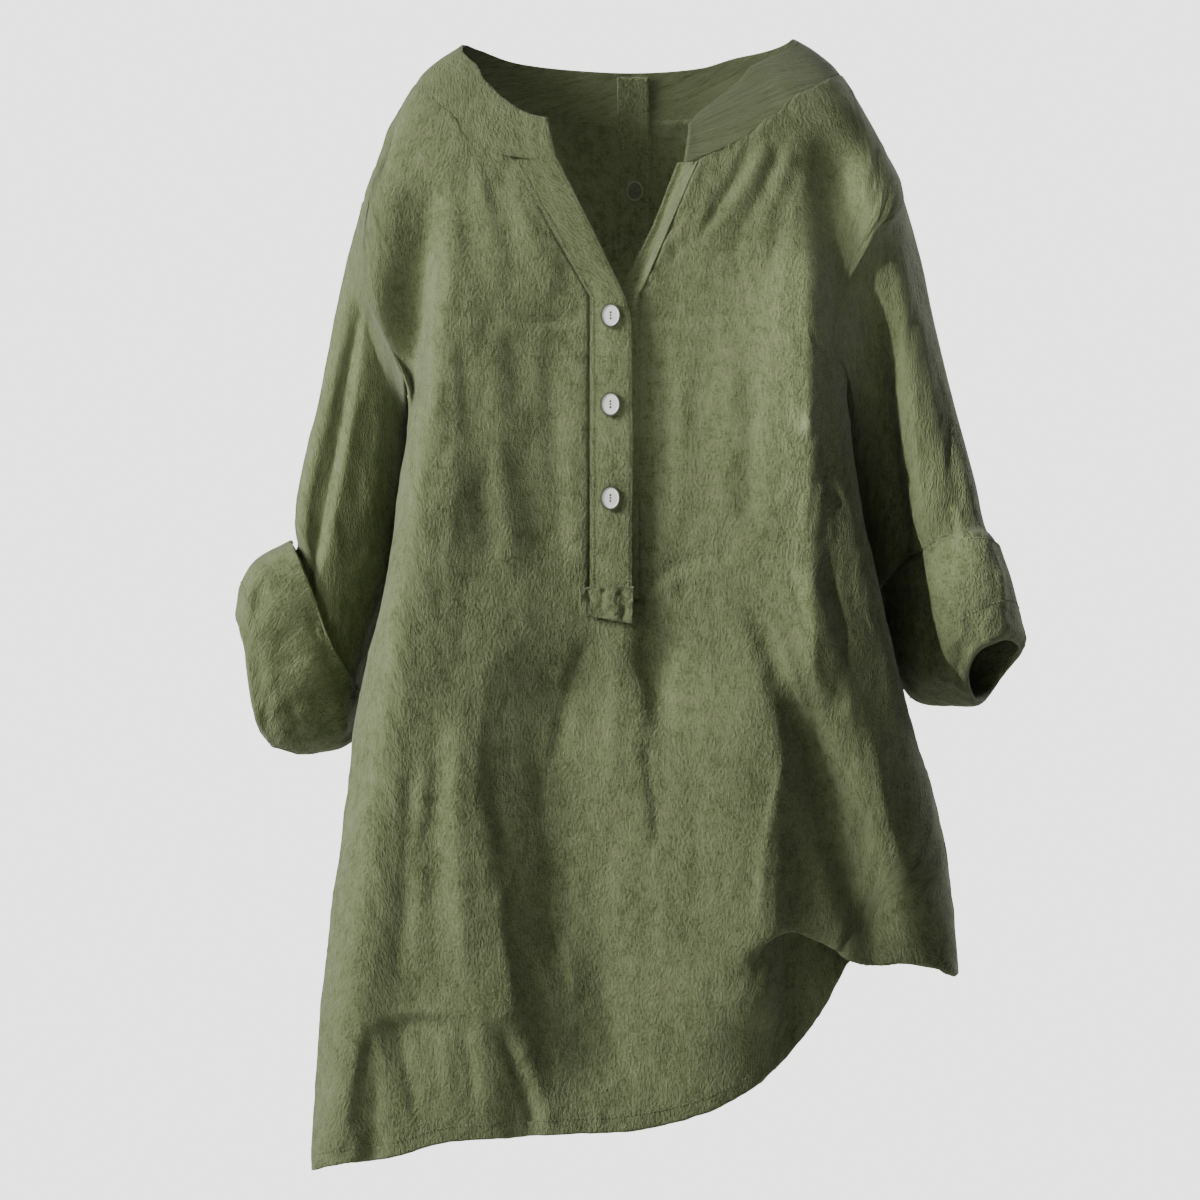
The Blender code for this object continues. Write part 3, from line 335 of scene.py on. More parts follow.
HEM_ZONE, HEM_ROWS = 0.0150, 12  # the hem's own close rows
HEM_TURN = [(0.0006, -0.0010), (0.0020, -0.0020), (0.0070, -0.0024), (0.0105, -0.0022)]  # up behind, and in
HEM_STEPS = [(HEM_ZONE * (1 - k / HEM_ROWS), 0.0) for k in range(1, HEM_ROWS + 1)] + HEM_TURN
HEM_STITCH = 0.0100  # the hem's stitch line above its edge
UPPER_ROWS, LOWER_ROWS = 78, 174


def front_half(side, ridge_columns, seam_columns):
    """One half's chart: shoulder ridge and collar seam, armhole and side seam, V seam and slit, and hem."""
    quarter, v_top, slit, hem_side, *seam_ends = (
        (-math.pi / 2, V_LEFT_TOP, SLIT_LEFT, FRONT_HEM[0].across, LEFT_SHOULDER_ROW, V_LEFT_ROW)
        if side == "left"
        else (math.pi / 2, V_RIGHT_TOP, SLIT_RIGHT, FRONT_HEM[-1].across, RIGHT_SHOULDER_ROW, V_RIGHT_ROW)
    )
    seam = collar_at(np.linspace(*seam_ends, seam_columns + 1), 0.0)
    seam[:, 0] += quarter - seam[0, 0]
    ridge = np.linspace(SHOULDER_TIP, seam[0, 1], ridge_columns, endpoint=False)
    top = np.concatenate([np.stack([np.full(ridge_columns, quarter), ridge], -1), seam])
    top[-1] = angle_at(np.float64(v_top[0]), np.float64(v_top[1])), v_top[1]
    hem = hem_line(front_hem, hem_side, slit, len(top), HEM_ZONE)
    hem[0, 0] = quarter

    upper = np.linspace(v_top[1], UNDERARM, UPPER_ROWS + 1)
    lower = np.linspace(UNDERARM, hem[-1, 1], LOWER_ROWS + 1)
    centres = [np.stack([angle_at(v_seam(side, h), h), h], -1) for h in (upper, lower)]
    level = np.stack([np.linspace(quarter, centres[1][0, 0], len(top)), np.full(len(top), UNDERARM)], -1)
    side_seam = np.stack(
        [np.full(LOWER_ROWS + 1, quarter), np.linspace(UNDERARM, hem[0, 1], LOWER_ROWS + 1)], -1
    )
    return panel_chart(
        top, level, hem, (armhole_side(side, UPPER_ROWS), centres[0]), (side_seam, centres[1])
    )


SWELL_REPEAT = 61  # units after which the noise repeats


def swell(u, v, seed):
    """Gradient noise with lumps about one unit wide, from -1 to 1: each corner of a point's unit square holds
    a random slope, and the four slopes' heights there are blended by ease()."""
    turn = np.random.default_rng(seed).uniform(0, 2 * math.pi, (SWELL_REPEAT, SWELL_REPEAT))
    i, j = np.floor(u).astype(int), np.floor(v).astype(int)
    x, y = u - i, v - j
    a, b = ease(x), ease(y)

    def corner(di, dj):
        t = turn[(i + di) % SWELL_REPEAT, (j + dj) % SWELL_REPEAT]
        return np.cos(t) * (x - di) + np.sin(t) * (y - dj)

    low = corner(0, 0) * (1 - a) + corner(1, 0) * a
    high = corner(0, 1) * (1 - a) + corner(1, 1) * a
    return 1.5 * (low * (1 - b) + high * b)


def crumple(u, v, seed):
    """The cloth's own unevenness, in metres: soft dents longer than wide, with ridges where a second noise
    changes its sign and small lumps over both, on paths bent by a third noise."""
    u = u + 0.008 * swell(u / 0.045, v / 0.060, seed)
    v = v + 0.012 * swell(u / 0.050, v / 0.040, seed + 1)
    dents = swell(u / 0.024, v / 0.048, seed + 2)
    ridges = 0.5 - np.abs(swell(u / 0.017, v / 0.031, seed + 3))
    lumps = swell(u / 0.0080, v / 0.0125, seed + 4)
    return 0.00100 * dents + 0.00100 * ridges + 0.00040 * lumps


# Creases, in millimetres seen from the front, each going down or to the right: a line's two ends, how far it
# bows to its right or downwards, its width on the left or above and on the right or below, its depth inwards
# at both ends (ridges are negative), and a 1 where it is sharp
Crease = namedtuple("Crease", "x z to_x to_z bow left right deep to_deep sharp", defaults=(0,))
CREASE_FADE = 0.22  # the share of its length over which a crease comes in, and goes out


def creased(creases, x, z):
    """The creases' depth, in metres: each falls off across its line as a bell, or as a peak where it is
    sharp, and is eased in and out along it."""
    x, z = 1000 * x, 1000 * z
    depth = np.zeros_like(x)
    for c in creases:
        run_x, run_z = c.to_x - c.x, c.to_z - c.z
        length = math.hypot(run_x, run_z)
        along = ((x - c.x) * run_x + (z - c.z) * run_z) / length**2
        off = ((z - c.z) * run_x - (x - c.x) * run_z) / length * (-1 if abs(run_x) > abs(run_z) else 1)
        off = off - 4 * c.bow * along * (1 - along)
        across = np.abs(off) / np.where(off < 0, c.left, c.right)
        bell = np.exp(0.25 - np.sqrt(across**2 + 0.0625)) if c.sharp else np.exp(-(across**2))
        there = ease(along / CREASE_FADE) * ease((1 - along) / CREASE_FADE)
        depth += (c.deep + (c.to_deep - c.deep) * np.clip(along, 0, 1)) * there * bell
    return depth / 1000


def outward(points, closed=False):
    """The unit direction out of a grid at each point: its step down crossed with its step across, on the side
    away from the grid's own middle."""
    if closed:
        across = np.roll(points, -1, 1) - np.roll(points, 1, 1)
    else:
        across = np.gradient(points, axis=1)
    normal = np.cross(np.gradient(points, axis=0), across)
    normal /= np.linalg.norm(normal, axis=-1, keepdims=True) + 1e-12
    away = points - points.mean(axis=1, keepdims=True)
    return normal * math.copysign(1, float(np.sum(normal * away)))


def cut_map(points, closed=False, middle=0, level=0):
    """Where each point lies on the flat cut, in metres: along its row from a middle column, and down its
    column from a level row. A closed grid has one more column, where it meets itself."""
    loop = np.concatenate([points, points[:, :1]], 1) if closed else points
    u = np.cumsum(np.linalg.norm(np.diff(loop, axis=1, prepend=loop[:, :1]), axis=-1), axis=1)
    v = np.cumsum(np.linalg.norm(np.diff(loop, axis=0, prepend=loop[:1]), axis=-1), axis=0)
    return u - u[:, middle : middle + 1], v - v[level : level + 1]


def cloth_mesh(name, points, cut, keep=None, closed=False):
    """A mesh of a grid's quads with its place on the cut as its UV map. keep masks the quads."""
    rows, columns = points.shape[:2]
    index = np.arange(rows * columns).reshape(rows, columns)
    wide = np.concatenate([index, index[:, :1]], 1) if closed else index
    flat = np.arange(wide.size).reshape(wide.shape)

    def quads(of):
        corners = np.stack([of[:-1, :-1], of[1:, :-1], of[1:, 1:], of[:-1, 1:]], axis=-1)
        return corners[keep] if keep is not None else corners.reshape(-1, 4)

    faces, places = quads(wide), quads(flat)
    normal = np.cross(np.gradient(points, axis=0), np.gradient(points, axis=1))
    if np.sum(normal * (points - points.mean(axis=1, keepdims=True))) < 0:
        faces, places = faces[:, ::-1], places[:, ::-1]
    used, faces = np.unique(faces, return_inverse=True)
    mesh = bpy.data.meshes.new(name)
    mesh.from_pydata(points.reshape(-1, 3)[used].tolist(), [], faces.reshape(-1, 4).tolist())
    uv = mesh.uv_layers.new(name="cut")
    at = np.stack([c.ravel()[places.ravel()] for c in cut], -1)
    uv.data.foreach_set("uv", at.astype(np.float32).ravel())
    mesh.shade_smooth()
    return mesh


def add_piece(name, mesh, material):
    """Put a mesh in the scene as one piece on the garment's body."""
    piece = bpy.data.objects.new(name, mesh)
    bpy.context.scene.collection.objects.link(piece)
    mesh.materials.append(material)
    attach(piece, "root")
    return piece


def lay_cloth(name, points, cut, slot, node, thickness=0.0, keep=None, closed=False):
    """Lay a piece of linen on a grid in place of a node. One layer gets a thickness, half on each side."""
    piece = add_piece(name, cloth_mesh(name, points, cut, keep, closed), LINENS[slot])
    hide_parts(node)
    if thickness:
        solid = piece.modifiers.new("cloth", "SOLIDIFY")
        solid.thickness, solid.offset = thickness, 0.0
    return piece


class Wire:
    """A socket in a material. + and * between wires and numbers add Math nodes, and node() adds any other."""

    def __init__(self, tree, socket=None):
        self.tree, self.socket = tree, socket

    def node(self, kind, settings, inputs, output=0):
        """Add a node of a type: its settings first, then its sockets' values or links."""
        made = self.tree.nodes.new(kind)
        for name, value in settings.items():
            setattr(made, name, value)
        for name, value in inputs.items():
            if isinstance(value, Wire):
                self.tree.links.new(value.socket, made.inputs[name])
            else:
                made.inputs[name].default_value = value
        return Wire(self.tree, made.outputs[output])

    def math(self, operation, other):
        return self.node("ShaderNodeMath", {"operation": operation}, {0: self, 1: other})

    def __add__(self, other):
        return self.math("ADD", other)

    __radd__ = __add__

    def __mul__(self, other):
        return self.math("MULTIPLY", other)

    __rmul__ = __mul__

    def between(self, low, high):
        """0 below low, 1 above high, and eased between."""
        ends = {"From Min": low, "From Max": high, "Value": self}
        return self.node("ShaderNodeMapRange", {"interpolation_type": "SMOOTHSTEP"}, ends)

    def mix(self, a, b):
        """Colour a where this is 0, colour b where it is 1."""
        return self.node("ShaderNodeMix", {"data_type": "RGBA"}, {0: self, 6: a, 7: b}, 2)

    def feed(self, shader, name):
        """Join this to a socket of the shader."""
        self.tree.links.new(self.socket, shader.inputs[name])


def finish(name, **values):
    """A new material: itself, its shader with the values that are the same all over, and a first wire."""
    material = bpy.data.materials.new(name)
    material.use_nodes = True
    shader = material.node_tree.nodes["Principled BSDF"]
    for socket, value in values.items():
        shader.inputs[socket.replace("_", " ")].default_value = value
    return material, shader, Wire(material.node_tree)


GREEN, PALE_GREEN, DEEP_GREEN = (0.167, 0.196, 0.092, 1), (0.243, 0.276, 0.148, 1), (0.098, 0.120, 0.049, 1)


def linen(name):
    """Slubby linen on the piece's cut map: pebbled by uneven yarn, plainly woven, mottled and flecked."""
    material, shader, start = finish(
        name, Roughness=0.88, Sheen_Weight=0.20, Sheen_Roughness=0.5, Specular_IOR_Level=0.25
    )
    cut = start.node("ShaderNodeTexCoord", {}, {}, 2)

    def yarn(across, along, detail=1.0, seed=0.0):
        """Noise whose lumps are this wide across and along the cloth, in metres."""
        per_metre = (1 / across, 1 / along, 1.0)
        scaled = start.node("ShaderNodeVectorMath", {"operation": "MULTIPLY"}, {0: cut, 1: per_metre})
        noise = {"Vector": scaled, "Scale": 1.0, "Detail": detail, "W": seed}
        return start.node("ShaderNodeTexNoise", {"noise_dimensions": "4D"}, noise)

    pebbles, fine = yarn(0.0021, 0.0030, 1.0), yarn(0.0010, 0.0013, 1.0, 2.0)
    warp, weft = yarn(0.0009, 0.0055, 0.0, 3.0), yarn(0.0060, 0.0009, 0.0, 5.0)
    slubs = yarn(0.0016, 0.0090, 0.0, 7.0).between(0.60, 0.78)
    mottle, clouds = yarn(0.0070, 0.0095, 1.0, 9.0), yarn(0.0300, 0.0450, 1.0, 13.0)
    grain = yarn(0.0006, 0.0008, 0.0, 11.0)
    flecks = yarn(0.0013, 0.0017, 0.0, 15.0).between(0.70, 0.80)

    tone = 0.8 * pebbles + 0.6 * fine + 0.3 * warp + 0.3 * weft + 0.9 * mottle + 0.6 * clouds + 0.5 * grain
    tone = tone * 0.25
    colour = tone.between(0.41, 0.51).mix(DEEP_GREEN, GREEN)
    colour = (tone.between(0.50, 0.61) * 0.6 + 0.2 * slubs + 0.6 * flecks).mix(colour, PALE_GREEN)
    colour.feed(shader, "Base Color")
    height = pebbles + 0.50 * fine + 0.10 * warp + 0.10 * weft + 0.15 * slubs + 0.10 * grain + 0.3 * mottle
    start.node("ShaderNodeBump", {}, {"Distance": 0.0012, "Height": height}).feed(shader, "Normal")
    return material


def seam_dip(edge, along=None, seed=0):
    """How far cloth dips, in metres, at a distance from the seam that holds it, with puckers beside the seam
    where its length along it is given."""
    dip = 0.0007 * np.exp(-((edge / 0.0016) ** 2))
    if along is None:
        return dip
    return dip + 0.0006 * swell(along / 0.0065, edge / 0.020, seed) * np.exp(-((edge - 0.004) / 0.006) ** 2)


FRONT_CREASES = [Crease(*row) for row in (
    # the left chest: a cross fold, a knot in the yarn, and soft upright ripples
    (-128, -165, -27, -174, 3, 3, 4, 1.8, 3.0, 1),
    (-132, -171, -30, -184, 2, 8, 8, -1.8, -3.0),
    (-130, -238, -34, -241, 2, 3, 4, 1.5, 1.0, 1),
    (-133, -216, -137, -244, 0, 2, 3, -2.2, -1.5),
    (-140, -224, -142, -243, 0, 2, 2, 1.0, 0.9),
    (-120, -66, -104, -150, -2, 6, 7, 1.7, 0.8),
    (-106, -60, -91, -140, 0, 5, 5, -1.0, -0.7),
    (-93, -62, -77, -148, -2, 6, 8, 1.7, 1.1),
    (-74, -84, -50, -156, -3, 6, 6, -1.4, -0.8),
    (-62, -80, -38, -150, 0, 4, 4, 0.8, 0.7),
    (-113, -185, -112, -263, 0, 6, 7, 1.1, 1.0),
    (-95, -185, -92, -250, 0, 6, 7, -0.8, -0.8),
    (-80, -178, -78, -240, 0, 7, 7, 1.0, 1.0),
    (-64, -180, -60, -250, 0, 6, 6, -0.8, -0.8),
    (-48, -185, -38, -345, 0, 6, 8, -1.0, -1.4),
    (-45, -181, -38, -191, 0, 2, 2, 1.4, 0.9),
    (-122, -249, -126, -372, 0, 7, 7, -1.4, -1.0),
    (-105, -263, -98, -372, 0, 8, 8, 1.4, 1.4),
    (-91, -249, -80, -372, 0, 7, 7, -1.4, -1.1),
    (-77, -256, -60, -341, 0, 10, 10, 2.1, 1.7),
    # the right chest: a cross fold, pleats fanning down from the shoulder, and another cross fold and its knot
    (6, -168, 82, -168, 2, 3, 4, 3.0, 1.5, 1),
    (8, -174, 78, -176, 2, 6, 7, -2.4, -1.5),
    (92, -44, 20, -146, 4, 5, 7, 3.0, 1.8),
    (101, -42, 44, -130, 3, 4, 6, -2.9, -1.0),
    (60, -85, 28, -142, 2, 4, 5, -2.2, -1.1),
    (110, -40, 66, -132, 3, 4, 5, 2.4, 1.0),
    (116, -43, 83, -138, 2, 4, 5, -1.2, -0.6),
    (121, -50, 96, -150, 1, 4, 5, 1.2, 0.6),
    (115, -71, 108, -178, 0, 5, 6, -0.9, -0.7),
    (24, -178, 29, -312, 0, 6, 8, 1.1, 1.2),
    (38, -200, 36, -330, 0, 6, 6, -0.7, -0.9),
    (56, -178, 46, -284, 0, 8, 10, 1.1, 1.2),
    (74, -178, 70, -327, 0, 8, 8, -0.9, -1.1),
    (88, -200, 82, -330, 0, 6, 6, 0.7, 0.9),
    (98, -156, 99, -341, 0, 8, 8, -0.7, -0.9),
    (83, -237, 124, -249, 0, 3, 5, 3.0, 1.9, 1),
    (86, -242, 120, -255, 0, 5, 6, -1.9, -1.8),
    (124, -239, 127, -252, 0, 2, 3, -2.9, -2.5),
    (132, -228, 130, -258, 0, 2, 2, 1.1, 1.4),
    (51, -257, 80, -257, 1, 2, 3, 1.5, 1.0, 1),
    (136, -284, 131, -328, -1, 2, 4, -1.1, -0.9),
    (132, -282, 127, -326, 0, 2, 3, 0.6, 0.6),
    (16, -354, 84, -337, -5, 4, 6, 3.1, 1.8, 1),
    (18, -361, 84, -345, -5, 6, 7, -2.5, -1.5),
    # the wide shallow hollows left of the placket and below it
    (-52, -140, -48, -372, 0, 27, 10, 2.8, 4.7),
    (-58, -390, -42, -650, 0, 34, 22, 4.4, 5.6),
    # below the placket
    (-27, -385, -62, -520, -3, 4, 7, 2.4, 1.5),
    (-52, -440, -56, -520, 0, 4, 4, -1.4, -1.1),
    (-9, -392, -12, -500, 0, 8, 8, -1.8, -1.5),
    (8, -392, 22, -460, 0, 6, 9, 2.9, 1.9),
    (10, -462, 21, -547, 1, 2, 3, 2.5, 2.0, 1),
    (24, -450, 36, -540, 0, 6, 8, -1.4, -1.1),
    (46, -450, 48, -560, 0, 7, 7, 1.1, 1.1),
    # the lower right, down to the tuck
    (113, -462, 91, -606, -4, 2, 3, -2.8, -2.5, 1),
    (86, -372, 122, -480, 2, 7, 7, 2.5, 2.2),
    (98, -372, 130, -470, 2, 3, 4, -1.9, -1.8),
    (112, -345, 128, -400, 0, 3, 4, 1.9, 1.8),
    (122, -340, 150, -430, 0, 5, 6, -2.0, -1.8),
    (136, -340, 164, -440, 0, 4, 5, 1.9, 1.5),
    (150, -470, 176, -560, 0, 6, 7, 1.5, 1.4),
    (168, -450, 190, -560, 0, 5, 6, -1.8, -1.8),
    (112, -520, 114, -596, 0, 8, 8, 1.5, 1.8),
    (48, -646, 98, -640, -3, 6, 12, 1.3, 1.0),
    # the lower left, down to the cross fold above the hem and below it
    (-119, -440, -112, -650, -4, 7, 8, -2.2, -2.2),
    (-134, -450, -138, -600, 0, 7, 8, 1.8, 1.8),
    (-142, -470, -148, -620, 0, 5, 6, -1.4, -1.4),
    (-152, -470, -162, -650, 0, 6, 8, 1.5, 1.8),
    (-144, -508, -128, -513, 0, 3, 4, 2.5, 1.9),
    (-140, -520, -150, -560, 0, 3, 4, 1.8, 1.4),
    (-100, -470, -84, -560, 0, 5, 6, 1.5, 1.9),
    (-92, -560, -76, -680, -2, 4, 5, -2.4, -1.8),
    (-60, -470, -50, -640, 0, 8, 8, 1.5, 1.8),
    (-44, -600, -40, -660, 2, 3, 4, -1.5, -1.1),
    (-30, -520, -36, -650, 0, 8, 8, -1.4, -1.5),
    (-181, -660, -58, -665, -5, 2, 3, -2.5, -1.9, 1),
    (-178, -669, -108, -671, -5, 3, 14, 2.6, 2.0),
    (-180, -664, -193, -750, 0, 4, 5, 3.2, 2.5),
    (-172, -668, -171, -748, 0, 5, 5, -1.9, -1.8),
    (-163, -664, -148, -738, 0, 4, 6, 2.5, 1.9),
    (-128, -668, -124, -738, 0, 6, 6, -1.8, -1.4),
    (-117, -662, -107, -730, 0, 3, 6, 2.0, 1.4),
    (-92, -664, -65, -748, 2, 4, 6, 2.9, 3.0),
    (-81, -668, -53, -746, 2, 5, 8, -1.9, -2.0),
)]
CLOTH_WALL = 0.0008
SEAM_FREE = 0.010  # how far from a seam the cloth is free to crumple fully
FRONT_SEEDS, BACK_SEEDS, SLIT_SEED = (11, 17, 19), (41, 43, 45), 21  # of the crumple, top seam and hem
STRIP_DIP = 2.2  # how much deeper the cloth dips beside the collar and the strips than at its other seams

LINENS = {slot: linen(slot + "_cloth") for slot in ("linen_panel", "linen_band")}


def hem_pucker(along, above, seed):
    """The ripples that the hem's stitching pulls into it: small waves either side of the stitch line."""
    waves = swell(along / 0.0055, above / 0.030, seed) + 0.6 * swell(along / 0.012, above / 0.03, seed + 1)
    return 0.0006 * waves * np.exp(-(((above - HEM_STITCH) / 0.0075) ** 2))


def dress_panel(points, cut, above_hem, creases, seeds, slit_dip=0.0):
    """A panel's points with its relief: crumple where the cloth is free of its seams, creases, dips at the
    seams and the slit, and the hem's puckers."""
    from_side, from_top = np.minimum(cut[0] - cut[0][:, :1], cut[0][:, -1:] - cut[0]), cut[1] - cut[1][:1]
    relief = crumple(*cut, seeds[0]) * ease(np.minimum(from_side, from_top) / SEAM_FREE)
    relief -= creased(creases, points[..., 0], points[..., 2])
    relief -= seam_dip(from_side) + STRIP_DIP * seam_dip(from_top, cut[0], seeds[1])
    relief -= slit_dip
    relief += hem_pucker(cut[0], above_hem, seeds[2])
    return points + outward(points) * relief[..., None]


left_half = front_half("left", ridge_columns=24, seam_columns=46)
right_half = front_half("right", ridge_columns=30, seam_columns=57)[:, ::-1]
SLIT_COLUMNS = 12
steps = (np.arange(1, SLIT_COLUMNS) / SLIT_COLUMNS)[None, :, None]
across_slit = left_half[:, -1:] * (1 - steps) + right_half[:, :1] * steps
chart = np.concatenate([left_half, across_slit, right_half], 1)
hem_rows = []
for above, inward in HEM_STEPS:
    halves = [
        hem_line(front_hem, FRONT_HEM[0].across, SLIT_LEFT, left_half.shape[1], above),
        hem_line(front_hem, SLIT_LEFT, SLIT_RIGHT, SLIT_COLUMNS + 1, above)[1:-1],
        hem_line(front_hem, SLIT_RIGHT, FRONT_HEM[-1].across, right_half.shape[1], above),
    ]
    hem_rows.append(np.concatenate([np.concatenate(halves), np.full((chart.shape[1], 1), inward)], 1))
chart = np.concatenate([np.concatenate([chart, np.zeros((*chart.shape[:2], 1))], 2), np.array(hem_rows)])
chart[UPPER_ROWS + 1 :, 0, 0], chart[UPPER_ROWS + 1 :, -1, 0] = -math.pi / 2, math.pi / 2
points = front_form(chart[..., 0], chart[..., 1], chart[..., 2])

left_slit = left_half.shape[1] - 1
right_slit = left_slit + SLIT_COLUMNS
cut = cut_map(points, middle=left_slit + 1 + SLIT_COLUMNS // 2, level=UPPER_ROWS)
from_slit = np.minimum(*(np.abs(cut[0] - cut[0][:, k : k + 1]) for k in (left_slit, right_slit)))
slit_dip = STRIP_DIP * seam_dip(from_slit, cut[1], SLIT_SEED) * (chart[..., 1] > PLACKET_END)
above_hem = chart[..., 1] - front_hem(points[..., 0])
points = dress_panel(points, cut, above_hem, FRONT_CREASES, FRONT_SEEDS, slit_dip)
keep = np.ones((chart.shape[0] - 1, chart.shape[1] - 1), bool)
keep[chart[:-1, left_slit + 1, 1] > PLACKET_END, left_slit:right_slit] = False
front = lay_cloth("front_cloth", points, cut, "linen_panel", "front_panel", CLOTH_WALL, keep=keep)

STITCH_PITCH, STITCH_LONG, STITCH_WIDE, STITCH_SIDES = 0.0027, 0.0020, 0.00034, 6


def stitching(name, lines):
    """Rows of stitches, each a six-sided spindle of thread. lines are (points, unit normals) down a row:
    stitches stand a pitch apart along it, bowed off the cloth in the middle and sunk into it at both ends."""
    stations, radii = np.array([-1.0, -0.62, 0.0, 0.62, 1.0]), np.array([0.02, 0.75, 1.0, 0.75, 0.02])
    turn = np.linspace(0, 2 * math.pi, STITCH_SIDES, endpoint=False)
    rings = []
    for row, normal in lines:
        length = np.concatenate([[0], np.cumsum(np.linalg.norm(np.diff(row, axis=0), axis=1))])
        middle = np.arange(STITCH_PITCH, length[-1] - STITCH_PITCH / 2, STITCH_PITCH)
        at = middle[:, None] + stations * STITCH_LONG / 2
        centre, up, ahead = (
            np.stack([np.interp(at, length, a[:, k]) for k in range(3)], -1)
            for a in (row, normal, np.gradient(row, length, axis=0))
        )
        side = np.cross(ahead, up)
        side /= np.linalg.norm(side, axis=-1, keepdims=True)
        centre += up * (0.00045 + 0.00030 * (1 - stations**2))[:, None]
        ring = np.cos(turn)[:, None] * side[:, :, None] + np.sin(turn)[:, None] * up[:, :, None]
        rings.append(centre[:, :, None] + ring * (radii * STITCH_WIDE)[:, None, None])
    points = np.concatenate(rings)
    index = np.arange(points.size // 3).reshape(-1, len(stations), STITCH_SIDES)
    after = np.roll(index, -1, axis=2)
    faces = np.stack([index[:, :-1], after[:, :-1], after[:, 1:], index[:, 1:]], -1).reshape(-1, 4).tolist()
    faces += index[:, 0, ::-1].tolist() + index[:, -1].tolist()
    mesh = bpy.data.meshes.new(name)
    mesh.from_pydata(points.reshape(-1, 3).tolist(), [], faces)
    mesh.shade_smooth()
    return add_piece(name, mesh, thread)


def rows_of(points, rows, trim):
    """The (points, unit normals) of some rows of a grid, less a few points at both ends."""
    normal = outward(points)
    return [(points[k, trim:-trim], normal[k, trim:-trim]) for k in rows]


# Matt green thread, a little lighter than the cloth and unevenly dyed along its length
thread, shader, start = finish("sewing_thread", Roughness=0.75)
place = start.node("ShaderNodeTexCoord", {}, {}, 3)
tone = start.node("ShaderNodeTexNoise", {}, {"Vector": place, "Scale": 700.0, "Detail": 1.0})
tone.between(0.35, 0.65).mix((0.120, 0.138, 0.066, 1), (0.270, 0.292, 0.178, 1)).feed(shader, "Base Color")

HEM_STITCH_ROW = round(HEM_ROWS * (1 - HEM_STITCH / HEM_ZONE))
stitching("front_hem_stitches", rows_of(points, [UPPER_ROWS + LOWER_ROWS + HEM_STITCH_ROW], 2))

# ---- Back panel ----------------------------------------------------------------------------------------
# One cut of the same linen from the collar's back seam and the shoulders to its own hem, which is a little
# shorter at the right.

BACK_HEM = [Hem(*row) for row in (
    (-0.2251, -0.7560),
    (-0.1600, -0.7440),
    (-0.0500, -0.7300),
    (0.0500, -0.7080),
    (0.1172, -0.6650),
    (0.1633, -0.6150),
    (0.2340, -0.6050),
)]
BACK_CREASES = [Crease(*row) for row in (
    # soft folds down from the collar, a few cross folds, and ripples towards the hem
    (-60, -60, -95, -230, 6, 8, 10, 1.4, 0.8),
    (-40, -70, -62, -240, 3, 7, 8, -1.2, -0.7),
    (54, -62, 84, -220, -4, 8, 9, 1.3, 0.8),
    (38, -66, 58, -230, 0, 6, 8, -1.1, -0.8),
    (4, -60, 0, -190, 0, 8, 8, 1.0, 0.7),
    (-120, -130, -128, -300, 0, 8, 9, -1.2, -1.0),
    (118, -130, 128, -310, 0, 8, 9, -1.2, -1.0),
    (-110, -214, -20, -222, 4, 4, 6, 1.0, 0.6, 1),
    (10, -236, 104, -226, 5, 4, 6, 0.6, 1.0, 1),
    (-96, -352, 8, -346, -4, 4, 7, 0.7, 1.0, 1),
    (30, -410, 120, -424, 3, 4, 7, 0.9, 0.6, 1),
    (-90, -260, -98, -420, 0, 8, 9, 1.2, 1.2),
    (-20, -250, -14, -430, 0, 9, 9, -1.2, -1.2),
    (40, -260, 46, -400, 0, 8, 9, 1.1, 1.1),
    (86, -280, 96, -450, 0, 8, 9, -1.1, -1.1),
    (-150, -400, -166, -620, 0, 8, 9, 1.3, 1.4),
    (-96, -450, -104, -680, 0, 8, 10, -1.4, -1.6),
    (-30, -470, -34, -700, 0, 9, 9, 1.3, 1.5),
    (56, -470, 66, -660, 0, 9, 9, -1.4, -1.5),
    (124, -470, 142, -610, 0, 8, 9, 1.3, 1.3),
    (160, -420, 184, -590, 0, 7, 8, -1.2, -1.2),
    (-170, -640, -60, -632, -5, 3, 5, -0.8, -0.7, 1),
    (-130, -644, -138, -720, 0, 5, 6, 1.3, 1.2),
    (-70, -640, -62, -712, 0, 5, 6, 1.3, 1.2),
)]


def back_hem(across):
    return curve(column(BACK_HEM, "across"), column(BACK_HEM, "height"), across)


RIDGE_COLUMNS, BACK_SEAM_COLUMNS, BACK_UPPER, BACK_LOWER = 22, 111, 44, 112
LEFT_SIDE, RIGHT_SIDE = -math.pi / 2, -3 * math.pi / 2  # the side seams' angles, going round the back
seam = collar_at(np.linspace(LEFT_SHOULDER_ROW, RIGHT_SHOULDER_ROW, BACK_SEAM_COLUMNS), 0.0)
left_ridge, right_ridge = (
    np.stack(
        [np.full(RIDGE_COLUMNS, side), np.linspace(SHOULDER_TIP, end, RIDGE_COLUMNS, endpoint=False)], -1
    )
    for side, end in ((LEFT_SIDE, seam[0, 1]), (RIGHT_SIDE, seam[-1, 1]))
)
top = np.concatenate([left_ridge, seam, right_ridge[::-1]])


def back_edge(above):
    """The back's hem, some way above its edge, as angles on round the back."""
    line = hem_line(back_hem, BACK_HEM[0].across, BACK_HEM[-1].across, len(top), above)
    line[:, 0] = -math.pi - line[:, 0]
    line[[0, -1], 0] = LEFT_SIDE, RIGHT_SIDE
    return line


